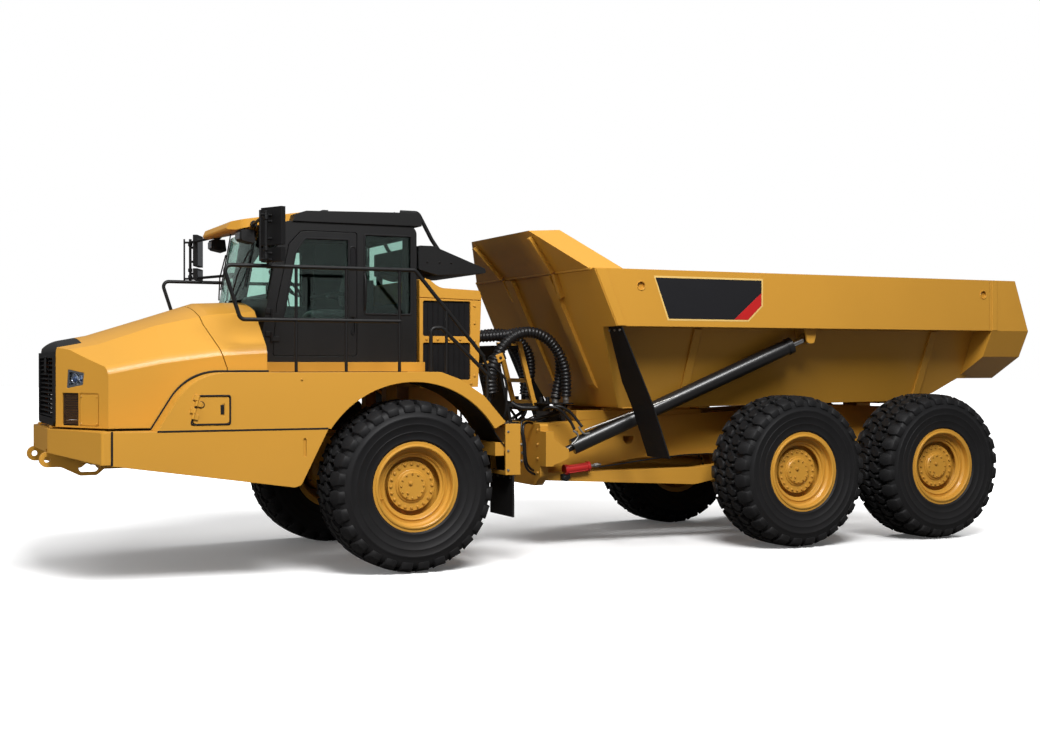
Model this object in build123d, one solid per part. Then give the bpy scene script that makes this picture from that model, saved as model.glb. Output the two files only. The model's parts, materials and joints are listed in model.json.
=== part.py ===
from build123d import *
from math import asin, cos, degrees, radians, sin, tan
import os

# Articulated dump truck, in millimetres. +X is forward, +Y is left, +Z is up.
# Lengths along X are measured from the front axle. When a piece is written, it is moved so
# that the origin lies on the ground under the middle of the truck.

# Overall reach from the front axle, and the wheels
NOSE_REACH = 3470
TAIL_REACH = 8190
AXLE_2_X = -4716
AXLE_3_X = -6745
WHEEL_RADIUS = 870
HALF_TRACK = 1384
TYRE_WIDTH = 700
BEAD_WIDTH = 580
TREAD_WIDTH = 600
TREAD_DEPTH = 45
TREAD_BLOCKS = 22
BLOCK_SHARE = 0.33
SIDEWALL_RADIUS = 640
RIM_RADIUS = 430
FLANGE_HEIGHT = 25
FLANGE_THICKNESS = 16
HUB_FACE = 185
HUB_RADIUS = 250
HUB_BACK = 80
COVER_RADIUS = 150
SPINDLE_RADIUS = 120
SPINDLE_DEPTH = 60
DRUM_RADIUS = 290
BOWL_RADIUS = 270
SHAFT_RADIUS = 55

# Clearances
RUNNING_FIT = 0.05
SEAT_GAP = 0.3
PANEL_GAP = 8
SHUT_GAP = 6
PIVOT_GAP = 10

# Small hinges: barrel length, barrel radius, pin radius
HINGE_SIZES = (50, 12, 6)
HINGE_OFFSET = 14

# Hinge places: the hitch, the load body's pivot, the hood
HITCH_X = -1450
ROLL_Z = 1080
DUMP_X = -7140
DUMP_Z = 1560
HOOD_HINGE_X = 3350
HOOD_HINGE_Z = 1485
HOOD_KNUCKLES = (-470, 470)

# Front frame
RAIL_IN = 270
RAIL_OUT = 360
RAIL_LOW = 1050
RAIL_HIGH = 1330
RAIL_FRONT = 2900
NOSE_PLATE_X = -1150
EAR_RADIUS = 170
NOSE_HALF = 300
EAR_THICKNESS = 80
EAR_LOW = 780
EAR_HIGH = 1380
PIN_RADIUS = 70
TOW_Y = 550
TOW_EYE_Z = 1170
TOW_EYE_RADIUS = 75
TOW_HOLE_RADIUS = 30
TOW_THICKNESS = 60
TOW_SLOT = (2950, 3060, 1080, 42)
BUMPER_WALL = 60
BUMPER_TOP = 1470
ENGINE = (1460, 2620, 2150)

# Cab and deck
CAB_HALF = 900
CAB_REAR = -310
CAB_FRONT_LOW = 1410
CAB_FRONT_HIGH = 1150
CAB_LOW = 2120
CAB_HIGH = 3560
CAB_WALL = 60
CAB_CORNER = 90
DECK_LOW = 2020
DECK_HALF = 1040
ROOF_THICKNESS = 140
VISOR_HALF = 760
VISOR_REACH = 500
DOOR_FRONT = 1250
DOOR_REAR = 350
DOOR_LOW = 2180
GLASS = 10
SCREEN_BULGE = 240
MIRROR = (1450, 1673)
MIRROR_TURN = 25
MIRROR_WIDTH = 300
HANDRAIL = 20
HANDRAIL_Y = 1520
HANDRAIL_TOP = 3050
HANDRAIL_LOW = 2530

# Cooling housing behind the cab: front, rear, half width, height of its rear edge
HOUSING_FRONT = -380
HOUSING_REAR = -1060
HOUSING_HALF = 800
HOUSING_TOP = 2900
HOUSING_WALL = 40
HOUSING_OPENINGS = [(1930, 2330), (2400, 2780)]

# Hood: sections at x with the height of crown, character line and shoulder
HOOD_SECTIONS = [
    (3420, 2300, 2200, 1960),
    (2950, 2390, 2290, 2080),
    (2400, 2565, 2480, 2190),
    (1880, 2735, 2590, 2260),
    (1400, 2755, 2640, 2290),
]
HOOD_LINE_HALF = 800
HOOD_SHOULDER_HALF = 1250
HOOD_SIDE = 1300
HOOD_LOW = 1490
HOOD_WALL = 35
HOOD_SEAM = 1810
NOSE_FRONT = 3320
NOSE_FLAT_HALF = 620
NOSE_SIDE_X = 2930
NOSE_CORNER = 130
GRILLE_HALF = 600
GRILLE_LOW = 1540
GRILLE_HIGH = 2240
GRILLE_BLADES = 13
CAP_REAR = 3080

# Outlines on the slanted corner: distance along it, height, rounding
LAMP_OUTLINE = [(165, 1865, 12), (185, 2050, 12), (430, 2015, 12), (412, 1900, 12)]
LAMP_INNER = [(185, 1890, 8), (202, 2028, 8), (412, 1997, 8), (396, 1917, 8)]
MESH_OUTLINE = [(100, 1508, 10), (345, 1508, 10), (345, 1822, 10), (100, 1822, 10)]
COVER_OUTLINE = [(358, 1508, 10), (645, 1508, 20), (645, 1822, 20), (358, 1822, 10)]
COVER_PLATE = [(368, 1514, 8), (632, 1514, 14), (632, 1806, 14), (368, 1806, 8)]

# Fenders and side boxes
SIDE_OUT = 1650
PANEL = 30
FENDER_TOP = 2020
FENDER_FRONT_FOOT = 2540
FENDER_FRONT_HEAD = 2196
FENDER_ROUND = 560
FENDER_SEAM = 890
SKIRT_TOP = 1470
ARCH_RADIUS = 1050
ARCH_LIP = 1185
LIP_ANGLES = (115, 130, 147)
FENDER_IN = 1010

# Hatch in the left fender: its slanted front edge, its rear edge
HATCH_FOOT = (2230, 1530)
HATCH_HEAD = (2160, 1800)
HATCH_REAR = 1860
HATCH_THICKNESS = 12
HATCH_ROUND = 36
# Shares of the way up the hatch at which its hinges sit
HATCH_HINGES = (0.2, 0.65)

# Load body
BODY_HALF = 1608
BODY_WALL = 25
BODY_FLOOR = 1600
CHINE = BODY_HALF - 708
HULL_TOP_HALF = BODY_HALF - 318
RAIL_BOTTOM = 2510
RAIL_TOP = 3130
RAIL_FOLD = 90
BODY_FRONT = -2060
FLOOR_FRONT = -2740
FLOOR_REAR = -6900
FLOOR_RISE = 40
TAIL_RISE_X = -7560
TAIL_FLOOR = 1920
HEAD_RISE = 446

# Rear frame
BEAM_IN = 360
BEAM_OUT = 500
FRAME_PLATE_X = -1850
FRAME_PLATE_THICKNESS = 100
FRAME_PLATE_HALF = 720
FRAME_PLATE_LOW = 780
FRAME_PLATE_HIGH = 1430

# Hose tower on the hitch
TOWER_HALF = 300
TOWER_LEAN = 210
TOWER_TOP = 2310

# Rams: lower pin and rod eye on the left side
RAM_BASE = (-2060, 770, 1100)
RAM_TOP = (-4950, BODY_HALF - 188, 2400)
RAM_BALL = 65
RAM_PIN = 36
# barrel radius, rod radius, eye radius, eye half width, bore radius, barrel's start,
# gland's distance from the rod eye, the rod's inner end
RAM_SIZES = (90, 42, 90, 45, RAM_PIN + 10, 170, 200, 230)
STEER_BASE = (-330, 470, 960)
STEER_EYE = (-1600, 430, 960)
STEER_PIN = 20
STEER_SIZES = (50, 28, 48, 28, STEER_PIN, 90, 450, 455)


def cab_level(share):
    """Height at a share of the way from the cab's floor line to its top."""
    return CAB_LOW + share * (CAB_HIGH - CAB_LOW)


# Heights in the cab
ROOF_HIGH = CAB_HIGH + ROOF_THICKNESS
DOOR_HIGH = CAB_HIGH - 90
WINDOW_TOP = DOOR_HIGH - 80
BELT = cab_level(0.306)
SILL = cab_level(0.444)
SEAT_BOX_TOP = cab_level(0.306)
CUSHION_TOP = cab_level(0.396)
BACKREST_TOP = cab_level(0.84)
DASH_TOP = cab_level(0.5)
WHEEL_LEVEL = cab_level(0.594)
MIRROR_ARM_LOW = cab_level(0.68)
MIRROR_ARM_HIGH = cab_level(0.975)
REAR_WINDOW = [(-250, BELT + 60, 30), (270, BELT + 60, 30), (270, WINDOW_TOP + 60, 30),
               (-250, WINDOW_TOP + 60, 30)]
DOOR_WINDOW = [(DOOR_REAR + 90, BELT, 40), (DOOR_FRONT - 110, BELT, 40),
               (DOOR_FRONT - 240, WINDOW_TOP - 150),
               (DOOR_FRONT - 340, WINDOW_TOP, 90), (DOOR_REAR + 90, WINDOW_TOP, 40)]
DOOR_HINGES = (DOOR_LOW + 150, BELT)


def outline(corners, place):
    """A flat face inside the given corners; a corner's third value is the radius of its rounding."""
    edges = []
    ends = []
    for i, corner in enumerate(corners):
        here = Vector(corner[0], corner[1], 0)
        if len(corner) < 3 or corner[2] == 0:
            ends.append((here, here))
            continue
        back = (Vector(*corners[i - 1][:2], 0) - here).normalized()
        ahead = (Vector(*corners[(i + 1) % len(corners)][:2], 0) - here).normalized()
        half = radians(back.get_angle(ahead)) / 2
        start = here + back * (corner[2] / tan(half))
        end = here + ahead * (corner[2] / tan(half))
        middle = here + (back + ahead).normalized() * (corner[2] / sin(half) - corner[2])
        edges.append(Edge.make_three_point_arc(place(start), place(middle), place(end)))
        ends.append((start, end))
    for i, (_, end) in enumerate(ends):
        start = ends[(i + 1) % len(ends)][0]
        edges.append(Edge.make_line(place(end), place(start)))
    return Face(Wire(edges))


def drawn_in(corners, g):
    """The corners of an opening drawn in by a gap g towards their middle."""
    middle_x = sum(corner[0] for corner in corners) / len(corners)
    middle_z = sum(corner[1] for corner in corners) / len(corners)
    result = []
    for x, z, *radius in corners:
        result.append((x + (g if x < middle_x else -g), z + (g if z < middle_z else -g), *radius))
    return result


def block(x0, x1, y0, y1, z0, z1):
    """A rectangular block between two corners."""
    return Pos((x0 + x1) / 2, (y0 + y1) / 2, (z0 + z1) / 2) * Box(abs(x1 - x0), abs(y1 - y0), abs(z1 - z0))


def side_prism(corners, y0, y1):
    """A side view of (x, z[, radius]) corners, carried across from y0 to y1."""
    return Solid.extrude(outline(corners, lambda p: Vector(p.X, y0, p.Y)), Vector(0, y1 - y0, 0))


def plan_prism(corners, z0, z1):
    """A plan of (x, y[, radius]) corners, carried up from z0 to z1."""
    return Solid.extrude(outline(corners, lambda p: Vector(p.X, p.Y, z0)), Vector(0, 0, z1 - z0))


def section_prism(corners, x0, x1):
    """A cross-section of (y, z[, radius]) corners, carried along from x0 to x1."""
    return Solid.extrude(outline(corners, lambda p: Vector(x0, p.X, p.Y)), Vector(x1 - x0, 0, 0))


def round_bar(start, end, radius):
    """A round bar from one point to another."""
    start, end = Vector(*start), Vector(*end)
    return Solid.make_cylinder(radius, (end - start).length, Plane(origin=start, z_dir=end - start))


def cross_bar(x, z, radius, y0, y1):
    """A round bar across the truck."""
    return round_bar((x, y0, z), (x, y1, z), radius)


def bent_bar(points, bend, radius):
    """A round bar along points, with the same bend radius at each inner point."""
    path = FilletPolyline(*points, radius=bend)
    return sweep(Plane(origin=path @ 0, z_dir=path % 0) * Circle(radius), path=path)


def turned(points):
    """A ring or disc about the Y axis, from a section of (radius, y) corners."""
    face = Face(Wire.make_polygon([Vector(radius, y, 0) for radius, y in points]))
    return Solid.revolve(face, 360, Axis.Y)


def joined(*shapes):
    """All shapes fused."""
    result = shapes[0]
    for shape in shapes[1:]:
        result = result + shape
    return result


def without(shape, cutters):
    """A shape with each cutter taken out of it."""
    for cutter in cutters:
        shape = shape - cutter
    return shape


def mirrored(shape):
    """The same piece on the other side."""
    return mirror(shape, about=Plane.XZ)


def paired(*shapes):
    """Each shape and its mirror image."""
    result = []
    for shape in shapes:
        result += [shape, mirrored(shape)]
    return result


def hinge(point, axis, toward, offset, leaf_reach, frame_reach):
    """Leaf half and frame half of a small hinge: barrels about `axis`, straps lying `offset` inside it."""
    length, radius, pin = HINGE_SIZES
    place = Plane(origin=point, x_dir=toward, z_dir=axis)
    barrel = Solid.make_cylinder(radius, length)
    hole = Pos(0, 0, -1) * Solid.make_cylinder(pin, length + 2)
    leaf = (barrel + Pos(leaf_reach / 2, offset / 2, length / 2) * Box(leaf_reach, offset, length)) - hole
    strap = Pos(-frame_reach / 2, offset / 2, length / 2) * Box(frame_reach, offset, length)
    frame = Pos(0, 0, length + 2) * (barrel + strap) + Solid.make_cylinder(pin - RUNNING_FIT, 2 * length + 2)
    return place * leaf, place * frame


def wheel_point(radius, angle, y):
    """A point on a circle about the wheel's axis, its angle counted from straight down."""
    return Vector(radius * sin(radians(angle)), y, -radius * cos(radians(angle)))


def tyre_ring(radius, y):
    """A many-sided ring about the wheel's axis, a corner under each tread groove."""
    pitch = 360 / TREAD_BLOCKS
    return Wire.make_polygon([wheel_point(radius, i * pitch, y) for i in range(TREAD_BLOCKS)])


def tread_row(phase, y0, y1):
    """One row of tread blocks about the wheel's axis, as a toothed disc."""
    pitch = 360 / TREAD_BLOCKS
    tip = WHEEL_RADIUS / cos(radians((BLOCK_SHARE - 0.25) * pitch))
    root = WHEEL_RADIUS - TREAD_DEPTH
    # radius, share of the pitch from the block's middle
    tooth = [(root, -0.45), (tip, -BLOCK_SHARE), (tip, BLOCK_SHARE), (root, 0.45)]
    points = [
        wheel_point(radius, phase + (i + share) * pitch, y0) for i in range(TREAD_BLOCKS) for radius,
              share in tooth
    ]
    return Solid.extrude(Face(Wire.make_polygon(points)), Vector(0, y1 - y0, 0))


def wheel_tyre():
    """Tyre about the wheel's centre: two staggered rows of blocks between straight-sided walls."""
    quarter = 90 / TREAD_BLOCKS
    root = WHEEL_RADIUS - TREAD_DEPTH
    bore = (RIM_RADIUS + SEAT_GAP) / cos(radians(180 / TREAD_BLOCKS))
    rows = tread_row(quarter, 0, TREAD_WIDTH / 2) + tread_row(-quarter, -TREAD_WIDTH / 2, 0)
    shoulders = []
    dishes = [Solid.make_loft([tyre_ring(bore, -TYRE_WIDTH), tyre_ring(bore, TYRE_WIDTH)], ruled=True)]
    for side in (1, -1):
        shoulder, wall, bead = side * TREAD_WIDTH / 2, side * TYRE_WIDTH / 2, side * BEAD_WIDTH / 2
        shoulders.append(Solid.make_loft([tyre_ring(root, shoulder), tyre_ring(SIDEWALL_RADIUS, wall)],
                                         ruled=True))
        dishes.append(Solid.make_loft([tyre_ring(bore, bead), tyre_ring(SIDEWALL_RADIUS, wall)], ruled=True))
    return without(joined(rows, *shoulders), dishes)


def wheel_rim():
    """Rim, dished disc and hub in one, its outer side towards +Y, with a blind bore for the spindle."""
    slope = (TYRE_WIDTH - BEAD_WIDTH) / 2 / (SIDEWALL_RADIUS - RIM_RADIUS)
    bead = BEAD_WIDTH / 2 + FLANGE_HEIGHT * slope + SEAT_GAP
    edge = bead + FLANGE_THICKNESS
    lip = RIM_RADIUS + FLANGE_HEIGHT
    well = RIM_RADIUS - 58
    section = [
        (0, HUB_FACE + 30), (COVER_RADIUS - 12, HUB_FACE + 30), (COVER_RADIUS, HUB_FACE + 18),
        (COVER_RADIUS, HUB_FACE), (HUB_RADIUS, HUB_FACE), (HUB_RADIUS + 8, HUB_FACE - 65),
               (well - 27, HUB_FACE - 65),
        (well, HUB_FACE - 25), (well, HUB_FACE + 50), (RIM_RADIUS - 35, HUB_FACE + 70),
               (RIM_RADIUS - 35, edge),
        (lip, edge), (lip, bead), (RIM_RADIUS, bead), (RIM_RADIUS, -bead), (lip, -bead), (lip, -edge),
        (RIM_RADIUS - 35, -edge), (well, -bead + 30), (well, HUB_BACK), (SPINDLE_RADIUS, HUB_BACK),
        (SPINDLE_RADIUS, HUB_BACK + SPINDLE_DEPTH), (0, HUB_BACK + SPINDLE_DEPTH),
    ]
    return turned(section)


# Wheels: name, axle's X, side (+1 left, -1 right)
WHEELS = [
    ("front_left", 0, 1), ("front_right", 0, -1),
    ("middle_left", AXLE_2_X, 1), ("middle_right", AXLE_2_X, -1),
    ("rear_left", AXLE_3_X, 1), ("rear_right", AXLE_3_X, -1),
]


def on_axle(shape, x, side):
    """A wheel piece at its axle's end."""
    if side < 0:
        shape = mirrored(shape)
    return Pos(x, side * HALF_TRACK, WHEEL_RADIUS) * shape


def axle(x):
    """Axle housing across the truck, with its differential, brake housings and spindles."""
    end = HALF_TRACK + HUB_BACK
    # radius, y on the left half
    half = [(SPINDLE_RADIUS - RUNNING_FIT, end + SPINDLE_DEPTH - 5),
            (SPINDLE_RADIUS - RUNNING_FIT, end - PIVOT_GAP),
            (DRUM_RADIUS, end - PIVOT_GAP), (DRUM_RADIUS, 1180), (DRUM_RADIUS - 25, 1165),
            (DRUM_RADIUS - 25, 1010),
            (210, 975), (165, 860), (150, 700)]
    section = [(0, half[0][1])] + half + [(radius, -y) for radius, y in reversed(half)] + [(0, -half[0][1])]
    bowl = Pos(x, 0, WHEEL_RADIUS) * Solid.make_sphere(BOWL_RADIUS, angle1=-90, angle2=90)
    nose = round_bar((x - BOWL_RADIUS - 60, 0, WHEEL_RADIUS), (x + BOWL_RADIUS + 60, 0, WHEEL_RADIUS), 120)
    return joined(Pos(x, 0, WHEEL_RADIUS) * turned(section), bowl, nose)


def tow_plate():
    """Left towing plate under the bumper, with an eye at its front and a long slot behind it."""
    x = NOSE_REACH - TOW_EYE_RADIUS
    y0, y1 = TOW_Y - TOW_THICKNESS / 2, TOW_Y + TOW_THICKNESS / 2
    slot_rear, slot_front, slot_z, slot_radius = TOW_SLOT
    plate = side_prism([(2780, 1260), (2780, 1120), (2860, 1065, 40), (2930, 1005, 50), (3090, 1005, 60),
                        (3270, TOW_EYE_Z - TOW_EYE_RADIUS, 120), (x, TOW_EYE_Z - TOW_EYE_RADIUS),
                        (x, TOW_EYE_Z + TOW_EYE_RADIUS), (3330, 1260)], y0, y1)
    plate = plate + cross_bar(x, TOW_EYE_Z, TOW_EYE_RADIUS, y0, y1)
    slot = [cross_bar(end, slot_z, slot_radius, y0 - 1, y1 + 1) for end in (slot_rear, slot_front)]
    slot.append(block(slot_rear, slot_front, y0 - 1, y1 + 1, slot_z - slot_radius, slot_z + slot_radius))
    return without(plate, [cross_bar(x, TOW_EYE_Z, TOW_HOLE_RADIUS, y0 - 1, y1 + 1), *slot])


def front_chassis():
    rail = [(NOSE_PLATE_X, RAIL_LOW), (RAIL_FRONT, RAIL_LOW, 40), (RAIL_FRONT, RAIL_HIGH, 40),
            (NOSE_PLATE_X, RAIL_HIGH)]
    rails = paired(side_prism(rail, RAIL_IN, RAIL_OUT))
    ties = [block(x - 60, x + 60, -RAIL_IN, RAIL_IN, RAIL_LOW + 60, RAIL_HIGH) for x in (2840, 750, -700)]
    nose = block(NOSE_PLATE_X - 100, NOSE_PLATE_X, -NOSE_HALF, NOSE_HALF, EAR_LOW, EAR_HIGH)
    ears = []
    for z in (EAR_LOW, EAR_HIGH - EAR_THICKNESS):
        plan = [(HITCH_X, -EAR_RADIUS), (NOSE_PLATE_X - 100, -NOSE_HALF), (NOSE_PLATE_X - 100, NOSE_HALF),
                (HITCH_X, EAR_RADIUS)]
        arm = plan_prism(plan, z, z + EAR_THICKNESS)
        eye = round_bar((HITCH_X, 0, z), (HITCH_X, 0, z + EAR_THICKNESS), EAR_RADIUS)
        ears += [arm, eye]
    bore = round_bar((HITCH_X, 0, EAR_LOW - 1), (HITCH_X, 0, EAR_HIGH + 1), PIN_RADIUS)
    posts = paired(*[block(x - 60, x + 60, RAIL_IN, RAIL_OUT + 60, RAIL_HIGH, DECK_LOW) for x in (1150,
                                                                                                  -200)])
    # x of the middle, half length across
    outriggers = [
        block(x - 50, x + 50, -y, y, RAIL_LOW + 100, RAIL_LOW + 240)
        for x, y in ((2700, 1350), (1250, 1350), (-960, 1600))
    ]
    deck = block(CAB_REAR - 40, CAB_FRONT_LOW, -DECK_HALF, DECK_HALF, DECK_LOW, CAB_LOW)
    front_beam = block(2780, RAIL_FRONT, -TOW_Y - 100, TOW_Y + 100, 1080, RAIL_HIGH)
    pedestal = block(-1000, -420, -RAIL_OUT, RAIL_OUT, RAIL_HIGH, 1850)
    x, y, z = STEER_BASE
    seats = paired(block(x - 70, x + 70, RAIL_IN, y + 50, RAIL_LOW - 40, RAIL_LOW))
    pins = paired(round_bar((x, y, z - 32), (x, y, RAIL_LOW - 30), STEER_PIN - RUNNING_FIT))
    body = joined(*rails, *ties, nose, *ears, *posts, *outriggers, deck, *paired(tow_plate()), front_beam,
                  pedestal)
    return [joined(body, *seats, *pins) - bore]


def engine_block():
    rear, front, top = ENGINE
    return [block(rear, front, -RAIL_IN, RAIL_IN, RAIL_LOW + 60, top)]


def front_axle():
    struts = paired(round_bar((0, RAIL_OUT + 75, WHEEL_RADIUS + 100), (0, RAIL_OUT + 75, RAIL_HIGH), 70))
    links = paired(block(-60, 60, RAIL_OUT, RAIL_OUT + 120, RAIL_HIGH - 100, RAIL_HIGH))
    return [joined(axle(0), *struts, *links)]


def bumper():
    plan = [(2950, -1640), (3040, -1640, 30), (3400, -610, 160), (3400, 610, 160), (3040, 1640, 30),
            (2950, 1640)]
    w = BUMPER_WALL
    inside = [(2940, -1640 + w), (3000, -1640 + w), (3400 - w, -590), (3400 - w, 590), (3000, 1640 - w),
              (2940, 1640 - w)]
    shell = plan_prism(plan, 1150, BUMPER_TOP) - plan_prism(inside, 1100, BUMPER_TOP - PANEL)
    shell = shell & side_prism([(2900, 1170), (3040, 1170), (3450, 1250), (3450, 1500), (2900, 1500)],
                               -1700, 1700)
    stays = paired(block(2900, 3400 - w + 5, TOW_Y - 140, TOW_Y - 60, 1280, 1400))
    notches = paired(block(2990, 3450, TOW_Y - 40, TOW_Y + 40, 1100, 1275))
    knuckles = []
    for y in HOOD_KNUCKLES:
        base = block(HOOD_HINGE_X - 10, HOOD_HINGE_X + 12, y - 20, y + 20, BUMPER_TOP, HOOD_HINGE_Z)
        barrel = cross_bar(HOOD_HINGE_X, HOOD_HINGE_Z, HINGE_SIZES[1], y - 20, y + 20)
        pin = cross_bar(HOOD_HINGE_X, HOOD_HINGE_Z, HINGE_SIZES[2] - RUNNING_FIT, y - 60, y + 60)
        knuckles += [base, barrel, pin]
    return [joined(without(joined(shell, *stays), notches), *knuckles)]


def hood_section(x, crown, line, shoulder, inset):
    """Cross-section of the hood: an arched crown, a slanting band, a rounded shoulder and upright sides."""
    side = HOOD_SIDE - inset
    top, bottom = shoulder - 160, HOOD_LOW
    half = [(HOOD_LINE_HALF, line - inset), (HOOD_SHOULDER_HALF - inset * 0.7, shoulder - inset * 0.7),
            (side, top)]
    bulge = (side - 12, (shoulder - inset * 0.7 + top) / 2 + 30)
    right = [Vector(x, y, z) for y, z in half]
    left = [Vector(x, -y, z) for y, z in half]
    return Wire([
        Edge.make_line(Vector(x, -side, bottom), left[2]),
        Edge.make_three_point_arc(left[2], Vector(x, -bulge[0], bulge[1]), left[1]),
        Edge.make_line(left[1], left[0]),
        Edge.make_three_point_arc(left[0], Vector(x, 0, crown - inset), right[0]),
        Edge.make_line(right[0], right[1]),
        Edge.make_three_point_arc(right[1], Vector(x, bulge[0], bulge[1]), right[2]),
        Edge.make_line(right[2], Vector(x, side, bottom)),
        Edge.make_line(Vector(x, side, bottom), Vector(x, -side, bottom)),
    ])


def hood_form(inset):
    """The hood and cowl's outer form, drawn in by an inset."""
    form = Solid.make_loft([hood_section(*row, inset) for row in HOOD_SECTIONS], ruled=True)
    front = NOSE_FRONT - inset
    plan = [(1000, -HOOD_SIDE), (NOSE_SIDE_X - inset, -HOOD_SIDE), (front, -NOSE_FLAT_HALF),
            (front, NOSE_FLAT_HALF),
            (NOSE_SIDE_X - inset, HOOD_SIDE), (1000, HOOD_SIDE)]
    (x0, crown0, *_), (x1, crown1, *_) = HOOD_SECTIONS[:2]
    brow = crown0 + (crown1 - crown0) * (x0 - NOSE_FRONT) / (x0 - x1) - inset
    profile = [(front, 1300), (front, brow, NOSE_CORNER - inset), (x1, crown1 + 2 - inset),
               (1000, crown1 + 900),
               (1000, 1300)]
    return form & plan_prism(plan, 1400, 3000) & side_prism(profile, -1500, 1500)


def hood_hollow():
    """The room inside hood and cowl, open below."""
    return hood_form(HOOD_WALL) + block(1000, NOSE_SIDE_X, -HOOD_SIDE + HOOD_WALL, HOOD_SIDE - HOOD_WALL,
                                        1400, 1600)


def hood_seam(offset):
    """The rear seam's line from the side, as (x, z) corners from its foot to over the crown."""
    x = HOOD_SEAM + offset
    return [(x, 1400), (x, 2060), (x + 150, 2490), (x + 200, 2900)]


def corner_prism(corners, depth_in, depth_out):
    """On the slanted left corner: (s, z[, radius]) corners, s from its front edge, carried in and out."""
    foot = Vector(NOSE_FRONT, NOSE_FLAT_HALF, 0)
    along = (Vector(NOSE_SIDE_X, HOOD_SIDE, 0) - foot).normalized()
    out = Vector(along.Y, -along.X, 0)
    face = outline(corners, lambda p: foot + along * p.X + Vector(0, 0, p.Y) - out * depth_in)
    return Solid.extrude(face, out * (depth_in + depth_out))


# The nose's slanted corners: outlines as (s, z, radius) corners


def hood_cap_zone(gap):
    """The region of the hood that the black cap over the grille takes up."""
    half = NOSE_FLAT_HALF - gap
    return block(CAP_REAR + gap, NOSE_FRONT + 100, -half, half, GRILLE_HIGH - 25 + gap, 2600)


def hood_shell():
    front = hood_seam(0) + [(4000, 2900), (4000, 1400)]
    shell = (hood_form(0) - hood_hollow()) & side_prism(front, -1500, 1500)
    cutters = [block(3200, 3400, -GRILLE_HALF, GRILLE_HALF, GRILLE_LOW, GRILLE_HIGH), hood_cap_zone(0)]
    cutters += paired(corner_prism(LAMP_OUTLINE, 60, 60), corner_prism(MESH_OUTLINE, 60, 60),
                      corner_prism(COVER_OUTLINE, 10, 60))
    shell = without(shell, cutters)
    shell = joined(shell, *paired(corner_prism(COVER_PLATE, 15, -2)))
    _, radius, pin = HINGE_SIZES
    for y in HOOD_KNUCKLES:
        for side in (-1, 1):
            y0, y1 = y + side * 22, y + side * 60
            strap = block(NOSE_FRONT - 30, HOOD_HINGE_X, y0, y1, HOOD_HINGE_Z - 5, HOOD_LOW + 5)
            barrel = cross_bar(HOOD_HINGE_X, HOOD_HINGE_Z, radius, y0, y1)
            hole = cross_bar(HOOD_HINGE_X, HOOD_HINGE_Z, pin, y0 - side, y1 + side)
            shell = joined(shell, strap, barrel) - hole
    return [shell]


def hood_cap():
    """Black cap over the grille, let into the hood's front edge."""
    return [(hood_form(0) - hood_form(HOOD_WALL)) & hood_cap_zone(SEAT_GAP)]


def grille():
    """Front grille with tilted blades, and a fine screen in each side of the nose."""
    out, deep = 25, 30
    y, low, high = GRILLE_HALF, GRILLE_LOW, GRILLE_HIGH
    frame = section_prism([(-y - 16, low - 40, 50), (y + 16, low - 40, 50), (y + 16, high - 26),
                           (-y - 16, high - 26)],
                          NOSE_FRONT + SEAT_GAP, NOSE_FRONT + out)
    frame = frame + block(NOSE_FRONT - deep, NOSE_FRONT + 5, -y + SEAT_GAP, y - SEAT_GAP, low + SEAT_GAP,
                          high - 30)
    frame -= section_prism([(-y + 50, low + 30, 25), (y - 50, low + 30, 25), (y - 50, high - 80, 25),
                            (-y + 50, high - 80, 25)], 3200, 3400)
    blades = []
    step = (high - low - 110) / GRILLE_BLADES
    for i in range(GRILLE_BLADES):
        blade = Pos(NOSE_FRONT - 5, 0, low + 30 + step * (i + 0.5)) * Rot(0, 25, 0) * Box(44, 2 * y - 90, 8)
        blades.append(blade)
    keel = block(NOSE_FRONT - 20, NOSE_FRONT - 5, -20, 20, low, high - 50)
    slots = [corner_prism([(125, z, 5), (320, z, 5), (320, z + 12, 5), (125, z + 12, 5)], 30, 0)
             for z in range(1530, 1800, 24)]
    screen = without(corner_prism(drawn_in(MESH_OUTLINE, SEAT_GAP), 24, -12), slots)
    return [joined(frame, *blades, keel), *paired(screen)]


def headlamps():
    """A lamp housing in each slanted corner, open to the front, with two round lamps."""
    housing = corner_prism(drawn_in(LAMP_OUTLINE, 1), 80, -3) - corner_prism(LAMP_INNER, 70, 0)
    lamps = [corner_prism([(s - r, 1960 - r, r - 0.5), (s + r, 1960 - r, r - 0.5),
                           (s + r, 1960 + r, r - 0.5),
                           (s - r, 1960 + r, r - 0.5)], 72, -25) for s, r in ((262, 46), (358, 36))]
    return paired(joined(housing, *lamps))


def cowl():
    rear = [(CAB_FRONT_LOW, 1400)] + hood_seam(-PANEL_GAP) + [(CAB_FRONT_LOW, 2900)]
    shell = (hood_form(0) - hood_hollow()) & side_prism(rear, -1500, 1500)
    bulkhead = hood_form(HOOD_WALL - 5) & block(CAB_FRONT_LOW, CAB_FRONT_LOW + PANEL, -1500, 1500, DECK_LOW,
                                                2900)
    return [joined(shell, bulkhead)]


def lip_point(radius, angle):
    return (radius * cos(radians(angle)), WHEEL_RADIUS + radius * sin(radians(angle)))


def lip_line(radius, top, angles):
    """Points along the fender's rear slope, from where it leaves the flat top."""
    crest = 180 - degrees(asin((top - WHEEL_RADIUS) / radius))
    return [lip_point(radius, angle) for angle in (crest, *angles)]


def slope_height(x):
    """Height of the fender's rear slope at x."""
    line = lip_line(ARCH_LIP, FENDER_TOP, LIP_ANGLES)
    for (x0, z0), (x1, z1) in zip(line, line[1:]):
        if x1 <= x <= x0:
            return z0 + (z1 - z0) * (x0 - x) / (x0 - x1)
    return FENDER_TOP


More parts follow.
